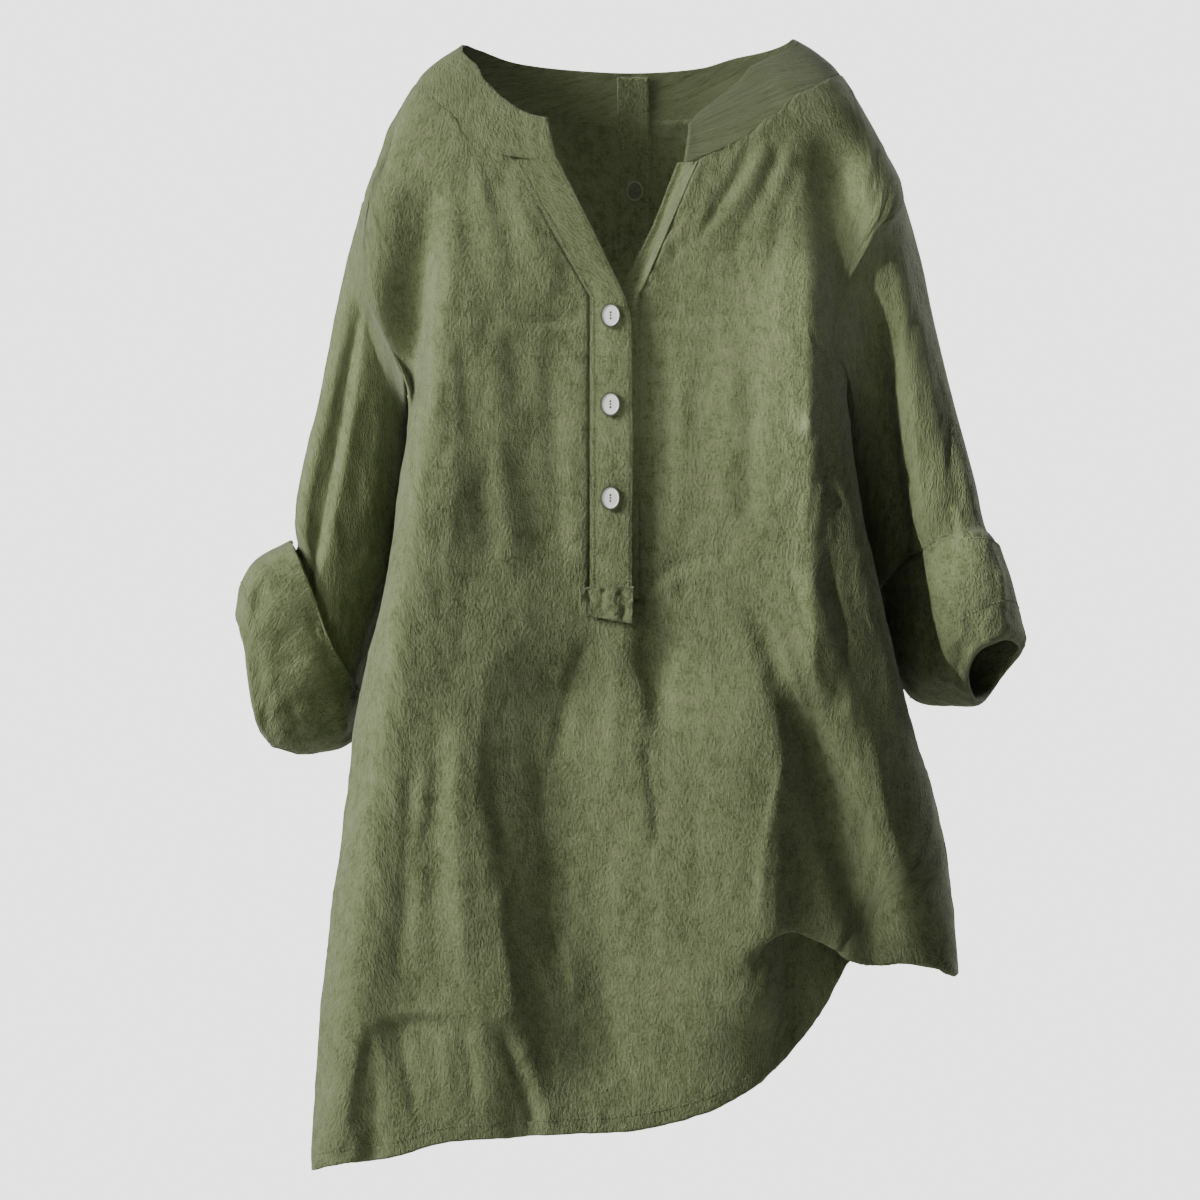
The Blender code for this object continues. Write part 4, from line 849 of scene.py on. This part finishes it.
hem = back_edge(HEM_ZONE)
level = np.stack([np.linspace(LEFT_SIDE, RIGHT_SIDE, len(top)), np.full(len(top), UNDERARM)], -1)
sides = [
    np.stack([np.full(BACK_LOWER + 1, side), np.linspace(UNDERARM, end, BACK_LOWER + 1)], -1)
    for side, end in ((LEFT_SIDE, hem[0, 1]), (RIGHT_SIDE, hem[-1, 1]))
]
armholes = [armhole_side("left_back", BACK_UPPER), armhole_side("right_back", BACK_UPPER) - [2 * math.pi, 0]]
chart = panel_chart(top, level, hem, armholes, sides)
hem_rows = [
    np.concatenate([back_edge(above), np.full((len(top), 1), inward)], 1) for above, inward in HEM_STEPS
]
chart = np.concatenate([np.concatenate([chart, np.zeros((*chart.shape[:2], 1))], 2), np.array(hem_rows)])
points = form(chart[..., 0], chart[..., 1], chart[..., 2])
cut = cut_map(points, middle=len(top) // 2, level=BACK_UPPER)
points = dress_panel(points, cut, chart[..., 1] - back_hem(points[..., 0]), BACK_CREASES, BACK_SEEDS)
back = lay_cloth("back_cloth", points, cut, "linen_panel", "back_panel", CLOTH_WALL)
stitching("back_hem_stitches", rows_of(points, [BACK_UPPER + BACK_LOWER + HEM_STITCH_ROW], 2))

# ---- Collar band ---------------------------------------------------------------------------------------
# A stiffened double band of the linen standing round the neck, open at the V. Its top edge is folded, and it
# is stitched along that edge and above its lower seam, outside and inside.

BAND_HALF, TURN_STEPS = 0.0008, 5  # half a doubled band's thickness, and the steps round its folded edge
COLLAR_WIDTH, COLLAR_COLUMNS, COLLAR_STEPS = 0.035, 420, 14
COLLAR_LAP = 0.045  # the share of its width by which it laps over its lower seam
COLLAR_END = 0.06  # how far from its ends, in rows of its table, its layers close


def doubled(width, half, steps, start=0.0):
    """Across a doubled band, from its seam over the folded edge and back: shares of its width, and how far
    each lies out of the band's middle. The fold is half a circle, and a start below 0 laps over the seam."""
    turn, layer = np.linspace(0, math.pi, TURN_STEPS + 2)[1:-1], np.linspace(start, 1, steps)
    share = np.concatenate([layer, 1 + half / width * np.sin(turn), layer[::-1]])
    return share[:, None], half * np.concatenate([np.ones(steps), np.cos(turn), -np.ones(steps)])[:, None]


place = np.linspace(0, len(COLLAR) - 1, COLLAR_COLUMNS)[None, :]
share, out = doubled(COLLAR_WIDTH, BAND_HALF, COLLAR_STEPS, start=-COLLAR_LAP)
pinch = np.sqrt(np.maximum(1 - (1 - np.minimum(place, place[:, ::-1]) / COLLAR_END).clip(0, 1) ** 2, 0.02))
chart = collar_at(place, share)
slack = 0.7 * crumple(0.0285 * place + 0 * share, COLLAR_WIDTH * share + 0 * place, 51)
points = form(chart[..., 0], chart[..., 1], out * pinch + slack * np.minimum(pinch, ease(share / 0.2)))
cut = cut_map(points)
collar = lay_cloth("collar_cloth", points, cut, "linen_band", "collar_band")
stitching("collar_stitches", rows_of(points, (1, 12, -2), 4))

# ---- V strips, placket and tab -------------------------------------------------------------------------
# Two doubled strips sewn to the V and the slit. The left one laps over the right one down the placket, and a
# folded tab is stitched over the placket's end.

PLACKET_OUT, STRIP_RISE = 0.0024, 0.5  # how far it stands out, and the share of a strip over which it rises
STRIP_WIDTH, STRIP_ROWS, STRIP_STEPS, UNDERLAP_HALF = 0.030, 260, 12, 0.0006
V_STITCH_ROWS = 110  # the rows of the underlap that show, in the V
Strip = namedtuple("Strip", "height edge edge_out")
OVERLAP = [Strip(*row) for row in (
    (-0.0590, -0.0500, 0.0000),
    (-0.1065, -0.0260, 0.0010),
    (-0.1560, -0.0025, PLACKET_OUT),
    (-0.1720, 0.0018, PLACKET_OUT),
    (-0.2600, 0.0028, PLACKET_OUT),
    (-0.3682, 0.0022, PLACKET_OUT),
)]
UNDERLAP = [Strip(*row) for row in (
    (-0.0604, 0.0375, -0.0150),
    (-0.1065, 0.0185, -0.0170),
    (-0.1440, -0.0020, -0.0090),
    (-0.1640, -0.0150, -0.0024),
    (-0.2600, -0.0190, -0.0008),
    (-0.3686, -0.0190, -0.0008),
)]


STRIP_CREASES = [Crease(*row) for row in (
    # marks across the placket, and the puckers above its tab
    (-20, -270, -2, -263, 0, 2, 3, 0.7, 0.5, 1),
    (-23, -342, -3, -350, 1, 2, 3, 0.6, 0.5),
    (-26, -351, -14, -357, 0, 1, 2, 0.9, 0.6),
    (-12, -345, -4, -360, 0, 2, 2, -0.7, -0.6),
    (-67, -82, -14, -154, 0, 2, 2, 1.1, 0.9, 1),
    (-24, -166, -24, -356, 0, 1, 2, -0.7, -0.7),
    (-26, -164, -26, -358, 0, 1, 1, 0.8, 0.8, 1),
)]


def strip_piece(name, side, table, half, node):
    """A strip from its seam to its folded edge and back behind, rising beside the seam to how far it stands
    out. Both its layers share the crumple and the creases."""
    height = np.linspace(table[0].height, table[-1].height, STRIP_ROWS)
    knots = -column(table, "height")
    edge, edge_out = (np.interp(-height, knots, column(table, n)) for n in ("edge", "edge_out"))
    start = v_seam(side, height)
    share, out = (a.T for a in doubled(STRIP_WIDTH, half, STRIP_STEPS))
    across = start[:, None] + (edge - start)[:, None] * share
    level = np.repeat(height[:, None], share.shape[1], axis=1)
    points = form(angle_at(across, level), level, edge_out[:, None] * ease(share / STRIP_RISE) + out)
    relief = 0.45 * crumple(across, level, 61) - creased(STRIP_CREASES, across, level)
    points[..., 1] -= relief * ease(share / STRIP_RISE)
    return points, outward(points), lay_cloth(name, points, cut_map(points), "linen_band", node)


over, over_normal, overlap = strip_piece("overlap_cloth", "left", OVERLAP, BAND_HALF, "placket_overlap")
under, under_normal, underlap = strip_piece(
    "underlap_cloth", "right", UNDERLAP, UNDERLAP_HALF, "placket_underlap"
)
lines = [(over[:, k], over_normal[:, k]) for k in (1, 10)]
lines.append((under[:V_STITCH_ROWS, 10], under_normal[:V_STITCH_ROWS, 10]))
stitching("placket_stitches", lines)

TAB_LEFT, TAB_RIGHT, TAB_TOP, TAB_LOW_LEFT, TAB_LOW_RIGHT = -0.0340, 0.0040, -0.3600, -0.3790, -0.3862
TAB_OUT, TAB_WALL = PLACKET_OUT + 0.0019, 0.0014
TAB_CREASES = [Crease(*row) for row in (
    # two folds across it, the puckers at its ends and its notched right end
    (-33, -366, -14, -374, 1, 2, 3, 1.9, 1.5, 1),
    (-20, -364, -4, -379, -1, 3, 3, -1.6, -1.4),
    (-8, -363, 3, -370, 0, 2, 2, 2.2, 1.7, 1),
    (-31, -374, -6, -382, 0, 2, 2, 1.2, 1.0),
    (-29, -360, -26, -372, 0, 1, 2, 2.0, 1.2, 1),
    (-2, -372, -5, -386, 0, 2, 2, 2.0, 1.6, 1),
    (-16, -360, -18, -372, 0, 2, 2, 1.1, 0.8),
)]


def forward(points):
    """The unit direction out of a sheet at each point, on the garment's front."""
    normal = outward(points)
    return -normal * np.sign(normal[..., 1:2])


u, v = np.meshgrid(np.linspace(0, 1, 64), np.linspace(0, 1, 48))
across = TAB_LEFT + (TAB_RIGHT - TAB_LEFT) * u + 0.0022 * (0.5 - u) * v
low = TAB_LOW_LEFT + (TAB_LOW_RIGHT - TAB_LOW_LEFT) * u
height = TAB_TOP + (low - TAB_TOP) * v + 0.0012 * (u - 0.5) * (1 - v)
height += 0.0006 * swell(across / 0.009, height / 0.02, 62)
relief = 0.0009 * swell(across / 0.0065, height / 0.0055, 63) - creased(TAB_CREASES, across, height)
points = form(angle_at(across, height), height, TAB_OUT + relief * ease(np.minimum(v, 1 - v) / 0.2 + 0.5))
tab = lay_cloth("tab_cloth", points, cut_map(points), "linen_band", "placket_tab", TAB_WALL)
stitching("tab_stitches", [(points[k, 3:-3], forward(points)[k, 3:-3]) for k in (4, -5)])

# ---- Sleeves -------------------------------------------------------------------------------------------
# Two wide sleeves, each one cut of the linen sewn into a tube and eased into its armhole. Their ends go on
# inside the rolls.

Arm = namedtuple("Arm", "outer_x outer_y outer_z inner_x inner_y inner_z depth lean_x lean_z")
LEFT_ARM = [Arm(*row) for row in (
    (-0.1868, 0.014, -0.0852, -0.1590, 0.014, -0.2150, 0.030, 0.000, 0.000),
    (-0.1981, 0.020, -0.1243, -0.1560, 0.032, -0.2470, 0.044, 0.000, 0.000),
    (-0.2102, 0.023, -0.1775, -0.1560, 0.046, -0.2800, 0.053, 0.000, 0.000),
    (-0.2208, 0.025, -0.2308, -0.1600, 0.050, -0.3150, 0.055, 0.000, 0.000),
    (-0.2329, 0.027, -0.2840, -0.1670, 0.050, -0.3540, 0.053, 0.000, 0.000),
    (-0.2370, 0.028, -0.3130, -0.1760, 0.050, -0.3940, 0.051, -0.003, -0.001),
)]
RIGHT_ARM = [Arm(*row) for row in (
    (0.1953, 0.012, -0.0852, 0.1545, 0.012, -0.2150, 0.050, 0.000, 0.000),
    (0.2073, 0.018, -0.1243, 0.1565, 0.030, -0.2480, 0.053, 0.000, 0.000),
    (0.2194, 0.022, -0.1775, 0.1575, 0.046, -0.2800, 0.055, 0.000, 0.000),
    (0.2322, 0.025, -0.2308, 0.1620, 0.050, -0.3110, 0.055, 0.000, 0.002),
    (0.2464, 0.027, -0.2840, 0.1690, 0.050, -0.3410, 0.053, 0.000, 0.006),
    (0.2540, 0.028, -0.3190, 0.1760, 0.050, -0.3640, 0.050, 0.000, 0.010),
)]
LEFT_ROLL = [Arm(*row) for row in (
    (-0.2407, 0.029, -0.3273, -0.1850, 0.049, -0.4360, 0.056, -0.004, -0.002),
    (-0.2648, 0.031, -0.3408, -0.1960, 0.046, -0.4690, 0.058, -0.004, -0.002),
    (-0.2755, 0.032, -0.3586, -0.2244, 0.043, -0.4793, 0.056, -0.005, -0.003),
    (-0.2790, 0.033, -0.3763, -0.2442, 0.041, -0.4743, 0.052, -0.005, -0.004),
)]
RIGHT_ROLL = [Arm(*row) for row in (
    (0.2655, 0.030, -0.3351, 0.1790, 0.051, -0.3692, 0.055, 0.000, 0.014),
    (0.2733, 0.031, -0.3564, 0.1850, 0.049, -0.4060, 0.057, -0.003, 0.012),
    (0.2780, 0.033, -0.3750, 0.2030, 0.046, -0.4400, 0.055, -0.007, 0.010),
    (0.2820, 0.034, -0.3930, 0.2395, 0.041, -0.4444, 0.048, -0.010, 0.008),
)]
LEFT_ROLL_SHRINK, RIGHT_ROLL_SHRINK = (0.0080, 0.0066, 0.0050, 0.0042), (0.0020, 0.0030, 0.0038, 0.0042)
LIP_BIAS = {"left": (0.0, -1.6), "right": (0.6, 0.0)}  # what a lip's lean gains in front, and towards outside
SLEEVE_SQUARE = {"left": 5.0, "right": 2.4}  # how square a sleeve's outer front is: 2 is an ellipse
SLEEVE_STOP, ARMHOLE_BLEND = 0.14, 1.3  # in rings of the tables
SLEEVE_COLUMNS, SLEEVE_ROWS = 130, 150
TUBE_MEET = 0.03  # how far from where a tube meets itself, under the arm, its crumple is full


def arm_at(side, table, place, around, shrink=0.0):
    """A sleeve's point at a place along its rings and an angle round them, 0 outside and a quarter in front:
    an ellipse between the outer and inner points, its outer front squarer and its front lip leaning."""
    knots = np.arange(len(table))
    get = {n: curve(knots, column(table, n), place) for n in Arm._fields}
    outer, inner = (np.stack([get[f"{end}_{k}"] for k in "xyz"], -1) for end in ("outer", "inner"))
    half = (outer - inner) / 2
    length = np.linalg.norm(half, axis=-1)
    sine, cosine, square = np.sin(around), np.cos(around), SLEEVE_SQUARE[side]
    bias, skew = LIP_BIAS[side]
    lean = sine * (1 + bias * sine + skew * cosine)
    reach = np.where(cosine > 0, (np.abs(cosine) ** square + np.abs(sine) ** square) ** (-1 / square), 1.0)
    sine, cosine = reach * sine, reach * cosine * (length - shrink) / length
    lip = get["lean_x"] * lean, (shrink - get["depth"]) * sine, get["lean_z"] * lean
    return (outer + inner) / 2 + half * cosine[..., None] + np.stack(np.broadcast_arrays(*lip), -1)


def armhole_loop(side, around):
    """The armhole's edge at angles round the sleeve."""
    height = SHOULDER_TIP + (UNDERARM - SHOULDER_TIP) * (1 - np.cos(around)) / 2
    front_angle, back_angle = armhole_angle(side, height), armhole_angle(side + "_back", height)
    return form(np.where(np.sin(around) >= 0, front_angle, back_angle), height)


def crease_tube(points, creases, rear_creases):
    """A tube's creases on its front and on its rear, and one blended into the other at its sides."""
    facing, x, z = ease(0.5 - outward(points, True)[..., 1]), points[..., 0], points[..., 2]
    return facing * creased(creases, x, z) + (1 - facing) * creased(rear_creases, x, z)


def sleeve_piece(side, arm, roll, shrinks, creases, rear_creases, seed):
    """A tube from the armhole down inside the roll: its first ring is the armhole, and it turns into the
    sleeve's own rings over the first few. Inside the roll its rings are smaller than the roll's."""
    table = list(arm)
    for ring, shrink in zip(roll, shrinks):
        outer, inner = np.array(ring[:3]), np.array(ring[3:6])
        less = (outer - inner) * shrink / np.linalg.norm(outer - inner)
        table.append(Arm(*(outer - less), *(inner + less), ring.depth - shrink, ring.lean_x, ring.lean_z))
    around = np.linspace(0, 2 * math.pi, SLEEVE_COLUMNS, endpoint=False)[None, :]
    place = np.linspace(0, len(table) - 1 - SLEEVE_STOP, SLEEVE_ROWS)[:, None]
    seam, own = armhole_loop(side, around), arm_at(side, table, place, around)
    points = seam + (own - seam) * ease(place / ARMHOLE_BLEND)[..., None]
    cut = cut_map(points, closed=True)
    u, v = cut[0][:, :-1], cut[1][:, :-1]
    wrap = ease((cut[0][:, -1:] - u) / TUBE_MEET) * ease(u / TUBE_MEET)
    relief = crumple(u, v, seed) * ease(v / SEAM_FREE) * wrap
    relief -= crease_tube(points, creases, rear_creases) + seam_dip(v)
    points = points + outward(points, True) * relief[..., None]
    name, node = f"sleeve_{side}_cloth", f"sleeve_{side}"
    return lay_cloth(name, points, cut, "linen_panel", node, CLOTH_WALL, closed=True)


LEFT_SLEEVE_CREASES = [Crease(*row) for row in (
    # the long fold from the armhole to the roll, ripples on both sides of it, and the drag lines by the roll
    (-188, -150, -229, -378, 3, 14, 2.5, 8.0, 8.5),
    (-184, -160, -224, -372, 3, 2.5, 14, -2.2, -2.6),
    (-200, -130, -226, -330, 0, 6, 5, 1.2, 1.6),
    (-190, -130, -177, -210, 0, 5, 7, -1.1, -0.9),
    (-180, -118, -171, -200, 0, 5, 6, 1.2, 1.1),
    (-187, -166, -176, -194, 0, 2, 3, 1.6, 1.0, 1),
    (-186, -225, -198, -310, 0, 6, 6, 1.1, 1.1),
    (-176, -220, -186, -330, 0, 5, 6, -1.0, -1.0),
    (-168, -240, -175, -340, 0, 4, 5, 1.1, 1.1),
    (-203, -352, -180, -320, 0, 3, 3, 0.9, 0.7),
    (-200, -366, -168, -332, -2, 2, 3, 1.2, 1.0, 1),
    (-194, -380, -166, -348, -2, 2, 3, 1.1, 0.9, 1),
    (-186, -394, -168, -368, 0, 3, 3, 1.1, 0.8, 1),
    (-212, -300, -206, -350, 0, 4, 4, -0.8, -0.8),
)]
RIGHT_SLEEVE_CREASES = [Crease(*row) for row in (
    # the long soft ridge, the deep fold beside it, and small ripples at the armhole and the roll
    (184, -106, 219, -356, -2, 4, 13, -6.5, -5.5),
    (171, -116, 203, -362, -2, 15, 4, 8.0, 8.5),
    (206, -120, 240, -330, 0, 6, 6, 1.4, 1.7),
    (232, -300, 241, -338, 0, 3, 3, -1.8, -1.8, 1),
    (226, -296, 234, -338, 0, 3, 3, 1.2, 1.2),
    (187, -94, 178, -116, 0, 2, 3, -1.5, -1.2, 1),
    (197, -108, 207, -180, 0, 4, 5, 1.1, 0.8),
    (196, -190, 206, -250, 0, 4, 5, -0.8, -0.8),
    (208, -250, 214, -320, 0, 4, 5, 1.0, 0.9),
)]
left_sleeve = sleeve_piece(
    "left", LEFT_ARM, LEFT_ROLL, LEFT_ROLL_SHRINK, LEFT_SLEEVE_CREASES, RIGHT_SLEEVE_CREASES, 71
)
right_sleeve = sleeve_piece(
    "right", RIGHT_ARM, RIGHT_ROLL, RIGHT_ROLL_SHRINK, RIGHT_SLEEVE_CREASES, LEFT_SLEEVE_CREASES, 81
)

# ---- Rolled cuffs --------------------------------------------------------------------------------------
# Each sleeve's end is folded back on itself twice, so a soft doubled roll of the linen stands round the
# sleeve, with the sleeve's own hem stitching showing on it.

ROLL_WALL, ROLL_LAYERS = 0.0010, 0.0084  # its cloth, and how far inside its outer layer the inner one lies
ROLL_FOLD, ROLL_INNER_END = 0.18, 1.9  # in rings of the tables: the fold's reach, and the inner layer's end
ROLL_COLUMNS, ROLL_ROWS, ROLL_INNER_ROWS, ROLL_STITCH_ROW = 190, 76, 23, 56

LEFT_ROLL_CREASES = [Crease(*row) for row in (
    # dents near its upper edge, drag lines towards the opening and a slack lower side
    (-256, -341, -272, -374, 0, 5, 6, -1.8, -1.4),
    (-264, -350, -260, -382, 0, 5, 6, 2.0, 1.4),
    (-214, -378, -196, -426, 0, 4, 6, -1.8, -1.5),
    (-226, -372, -206, -424, 0, 5, 6, 1.4, 1.2),
    (-242, -413, -216, -404, 1, 2, 2, 1.0, 1.0, 1),
    (-256, -396, -246, -462, -2, 6, 7, -1.4, -1.2),
    (-268, -390, -258, -432, 0, 5, 5, 1.2, 1.0),
    (-226, -428, -211, -474, 2, 6, 8, 2.2, 1.6),
    (-240, -438, -231, -478, 0, 3, 4, 1.2, 1.2, 1),
    (-206, -438, -199, -468, 0, 4, 4, -1.3, -1.0),
)]
RIGHT_ROLL_CREASES = [Crease(*row) for row in (
    # a rounded front, with the turned layer's edge and folds drawn towards the opening
    (230, -340, 231, -424, 0, 8, 9, -2.4, -1.8),
    (212, -346, 214, -428, 0, 6, 7, 1.8, 1.4),
    (250, -340, 256, -384, 0, 5, 6, 1.3, 1.3),
    (263, -346, 268, -378, 0, 3, 4, -1.3, -1.0),
    (198, -424, 224, -438, 1, 2, 3, 1.2, 1.1, 1),
    (238, -392, 231, -438, 0, 3, 4, 1.8, 1.5, 1),
    (245, -396, 240, -442, 0, 2, 4, -1.5, -1.3),
    (204, -372, 206, -410, 0, 4, 5, -1.2, -1.0),
)]


def roll_piece(side, table, creases, rear_creases, seed):
    """The roll: behind its upper edge, over that edge, down outside, round the opening and back up inside.
    Its outside is creased and crumpled, and its edges are left a little uneven."""
    last = len(table) - 1
    turn, top_turn = np.linspace(0, math.pi, 9), np.linspace(-math.pi, 0, 7)[:-1]
    place = np.concatenate(
        [
            [0.35, 0.15],
            -0.035 * np.sin(-top_turn),
            np.linspace(0, last, ROLL_ROWS, endpoint=False),
            last + ROLL_FOLD * np.sin(turn),
            np.linspace(last, ROLL_INNER_END, ROLL_INNER_ROWS + 1)[1:],
        ]
    )[:, None]
    shrink = np.concatenate(
        [
            [0.0032, 0.0030],
            0.0014 * (1 - np.cos(top_turn)),
            np.zeros(ROLL_ROWS),
            ROLL_LAYERS * (1 - np.cos(turn)) / 2,
            np.full(ROLL_INNER_ROWS, ROLL_LAYERS),
        ]
    )[:, None]
    around = np.linspace(0, 2 * math.pi, ROLL_COLUMNS, endpoint=False)[None, :]
    points = arm_at(side, table, place, around, shrink)
    cut = cut_map(points, closed=True)
    u, v = cut[0][:, :-1], cut[1][:, :-1]
    wrap = ease((cut[0][:, -1:] - u) / TUBE_MEET) * ease(u / TUBE_MEET)
    rows = np.arange(len(place))[:, None]
    outside = ease(rows / 10) * ease((len(place) - 1 - ROLL_INNER_ROWS - rows) / 9)
    relief = (1.2 * crumple(u, v, seed) - 0.0010 * wrap) * wrap * (0.35 + 0.65 * outside)
    relief -= outside * crease_tube(points, creases, rear_creases)
    points = points + outward(points, True) * relief[..., None]
    row, normal = points[ROLL_STITCH_ROW], outward(points, True)[ROLL_STITCH_ROW]
    stitching(f"roll_{side}_stitches", [(row, normal)])
    name, node = f"roll_{side}_cloth", f"cuff_roll_{side}"
    return lay_cloth(name, points, cut, "linen_panel", node, ROLL_WALL, closed=True)


left_roll = roll_piece("left", LEFT_ROLL, LEFT_ROLL_CREASES, RIGHT_ROLL_CREASES, 91)
right_roll = roll_piece("right", RIGHT_ROLL, RIGHT_ROLL_CREASES, LEFT_ROLL_CREASES, 95)

# ---- Back neck strip -----------------------------------------------------------------------------------
# A narrow strip of the linen with its edges turned in, stitched down both of them and hanging from the collar
# inside the back neck.

Tongue = namedtuple("Tongue", "height left right")
BACK_STRIP = [Tongue(*row) for row in (
    (0.0040, -0.0078, 0.0156),
    (-0.0290, -0.0078, 0.0160),
    (-0.0480, -0.0052, 0.0168),
    (-0.0720, -0.0010, 0.0160),
    (-0.1230, 0.0085, 0.0140),
)]
BACK_STRIP_IN, BACK_STRIP_WALL = -0.0021, 0.001
knots = -column(BACK_STRIP, "height")
height = np.linspace(BACK_STRIP[0].height, BACK_STRIP[-1].height, 90)
left, right = (np.interp(-height, knots, column(BACK_STRIP, n)) for n in ("left", "right"))
across = left[:, None] + (right - left)[:, None] * np.linspace(0, 1, 20)
level = np.repeat(height[:, None], 20, axis=1)
points = form(angle_at(across, level, behind=True), level, BACK_STRIP_IN)
strip = lay_cloth(
    "neck_strip_cloth", points, cut_map(points), "linen_band", "back_neck_strip", BACK_STRIP_WALL
)
stitching("neck_strip_stitches", [(points[:, k], forward(points)[:, k]) for k in (2, -3)])

# ---- Buttons -------------------------------------------------------------------------------------------
# Three oval ivory buttons with a raised rim, each sewn on through two holes, and a small one in the cloth's
# colour on the back neck strip. They are moulded, so the solids' own shapes are kept and only coloured: a
# pearly swirl, and a colour painted at the edge, which on the ivory ones is a dark painted shadow line and on
# the small one a lighter band.

PEARL_SCALE = (180.0, 180.0, 420.0)
# rim: the colour painted round each button's edge, a dark painted shadow line on the ivory ones and a lighter
# band on the dyed one
IVORY = {"pale": (1.0, 0.99, 0.95, 1), "deep": (0.97, 0.95, 0.89, 1), "rim": (0.08, 0.09, 0.05, 1)}
DYED = {"pale": (0.120, 0.140, 0.066, 1), "deep": (0.085, 0.100, 0.046, 1), "rim": (0.240, 0.270, 0.150, 1)}


def button_finish(name, node, dye, roughness):
    """Polished moulded plastic with a faint pearly swirl, and a colour painted past most of an oval's distance
    from the middle of the button's box: a dark painted shadow line round the edge of the ivory buttons, and a
    lighter band on the dyed one. The node's mesh gets it."""
    material, shader, start = finish(name, Roughness=roughness, Coat_Weight=0.3, Coat_Roughness=0.25)
    place = start.node("ShaderNodeTexCoord", {}, {}, 3)
    stretched = start.node("ShaderNodeMapping", {}, {"Vector": place, "Scale": PEARL_SCALE})
    pearl = {"Vector": stretched, "Scale": 1.0, "Detail": 2.0, "Distortion": 1.2}
    colour = start.node("ShaderNodeTexNoise", {}, pearl).between(0.3, 0.7).mix(dye["deep"], dye["pale"])

    low, high = (np.array(corner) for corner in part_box(node))
    middle, half = (low + high) / 2, (high - low) / 2
    shares = (1 / half[0], 0, 1 / half[2])
    centred = start.node("ShaderNodeVectorMath", {"operation": "SUBTRACT"}, {0: place, 1: middle})
    scaled = start.node("ShaderNodeVectorMath", {"operation": "MULTIPLY"}, {0: centred, 1: shares})
    oval = start.node("ShaderNodeVectorMath", {"operation": "LENGTH"}, {0: scaled}, 1)
    # Past most of the oval's reach the colour turns to the painted rim colour: painted shade on the ivory
    # buttons, a lighter band on the dyed one
    oval.between(0.76, 0.88).mix(colour, dye["rim"]).feed(shader, "Base Color")
    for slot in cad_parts[node].material_slots:
        slot.material = material
    return low, middle


THREAD_DEEP = 0.0002  # how far the thread lies below the rim
strands = []
for node in ("button_top", "button_middle", "button_bottom"):
    low, middle = button_finish(node + "_ivory", node, IVORY, 0.3)
    for side in (-STITCH_WIDE, STITCH_WIDE):
        row = np.repeat([[middle[0] + side, low[1] + THREAD_DEEP, middle[2]]], 5, axis=0)
        row[:, 2] += STITCH_PITCH * np.array([1, 0.5, 0, -0.5, -1])
        strands.append((row, np.tile([0.0, -1.0, 0.0], (5, 1))))
button_finish("button_dyed", "back_strip_button", DYED, 0.45)
stitching("button_threads", strands)

# ---- Studio --------------------------------------------------------------------------------------------
# A pale floor well below the garment, a soft key that grazes the cloth from the upper left, spots on the left
# roll, the right sleeve and the inside of the neck, a weak fill, one lamp behind, and the camera in front.

bpy.ops.mesh.primitive_circle_add(vertices=96, radius=3.0, fill_type="NGON", location=(0, 0, -1.45))
floor = bpy.context.object
floor.name = "studio_floor"
floor.data.materials.append(finish("floor_paint", Base_Color=(0.72, 0.72, 0.71, 1), Roughness=0.9)[0])


def lamp(name, place, aim, size, watts, cone=0.0, blend=1.0):
    """A soft light at a place, facing a point: a square one, or a spot where it has a cone, in degrees."""
    data = bpy.data.lights.new(name, "SPOT" if cone else "AREA")
    data.energy = watts
    if cone:
        data.spot_size, data.spot_blend, data.shadow_soft_size = math.radians(cone), blend, size
    else:
        data.shape, data.size = "SQUARE", size
    made = bpy.data.objects.new(name, data)
    bpy.context.scene.collection.objects.link(made)
    made.location = place
    toward = Vector(aim) - Vector(place)
    made.rotation_euler = toward.to_track_quat("-Z", "Y").to_euler()


lamp("key", (-2.80, -1.25, 1.00), (0, 0, -0.35), 1.0, 138)
lamp("front_key", (-2.25, -2.25, 1.10), (0, 0, -0.35), 0.7, 13)
lamp("roll_spot", (-2.25, -2.25, 1.10), (-0.310, 0, -0.360), 0.25, 520, cone=5.5)
lamp("sleeve_spot", (-2.05, -2.80, 0.90), (0.712, 0, -0.360), 0.05, 1250, cone=11.2, blend=0.1)
lamp("neck_spot", (0.0, -3.30, 0.80), (-0.020, 0.08, -0.080), 0.25, 1600, cone=2.8)
lamp("fill", (1.2, -3.0, 0.6), (0, 0, -0.35), 2.0, 2)
lamp("back", (2.0, 2.6, 1.2), (0, 0, -0.35), 1.4, 80)

world = bpy.data.worlds.new("studio_air")
bpy.context.scene.world = world
world.use_nodes = True
air = Wire(world.node_tree)
background = world.node_tree.nodes["Background"]
background.inputs["Color"].default_value = (1, 1, 0.995, 1)
seen = air.node("ShaderNodeLightPath", {}, {}, 0)
world.node_tree.links.new((0.045 + 2.775 * seen).socket, background.inputs["Strength"])

CAMERA_DISTANCE, CAMERA_LENS = 9.467, 400.0
camera = bpy.data.objects.new("camera", bpy.data.cameras.new("camera"))
bpy.context.scene.collection.objects.link(camera)
camera.location = (-0.01988, -CAMERA_DISTANCE, -0.3692)
camera.rotation_euler = (math.pi / 2, 0, 0)
camera.data.lens, camera.data.sensor_width = CAMERA_LENS, 36.0
camera.data.clip_end = 40.0
bpy.context.scene.camera = camera
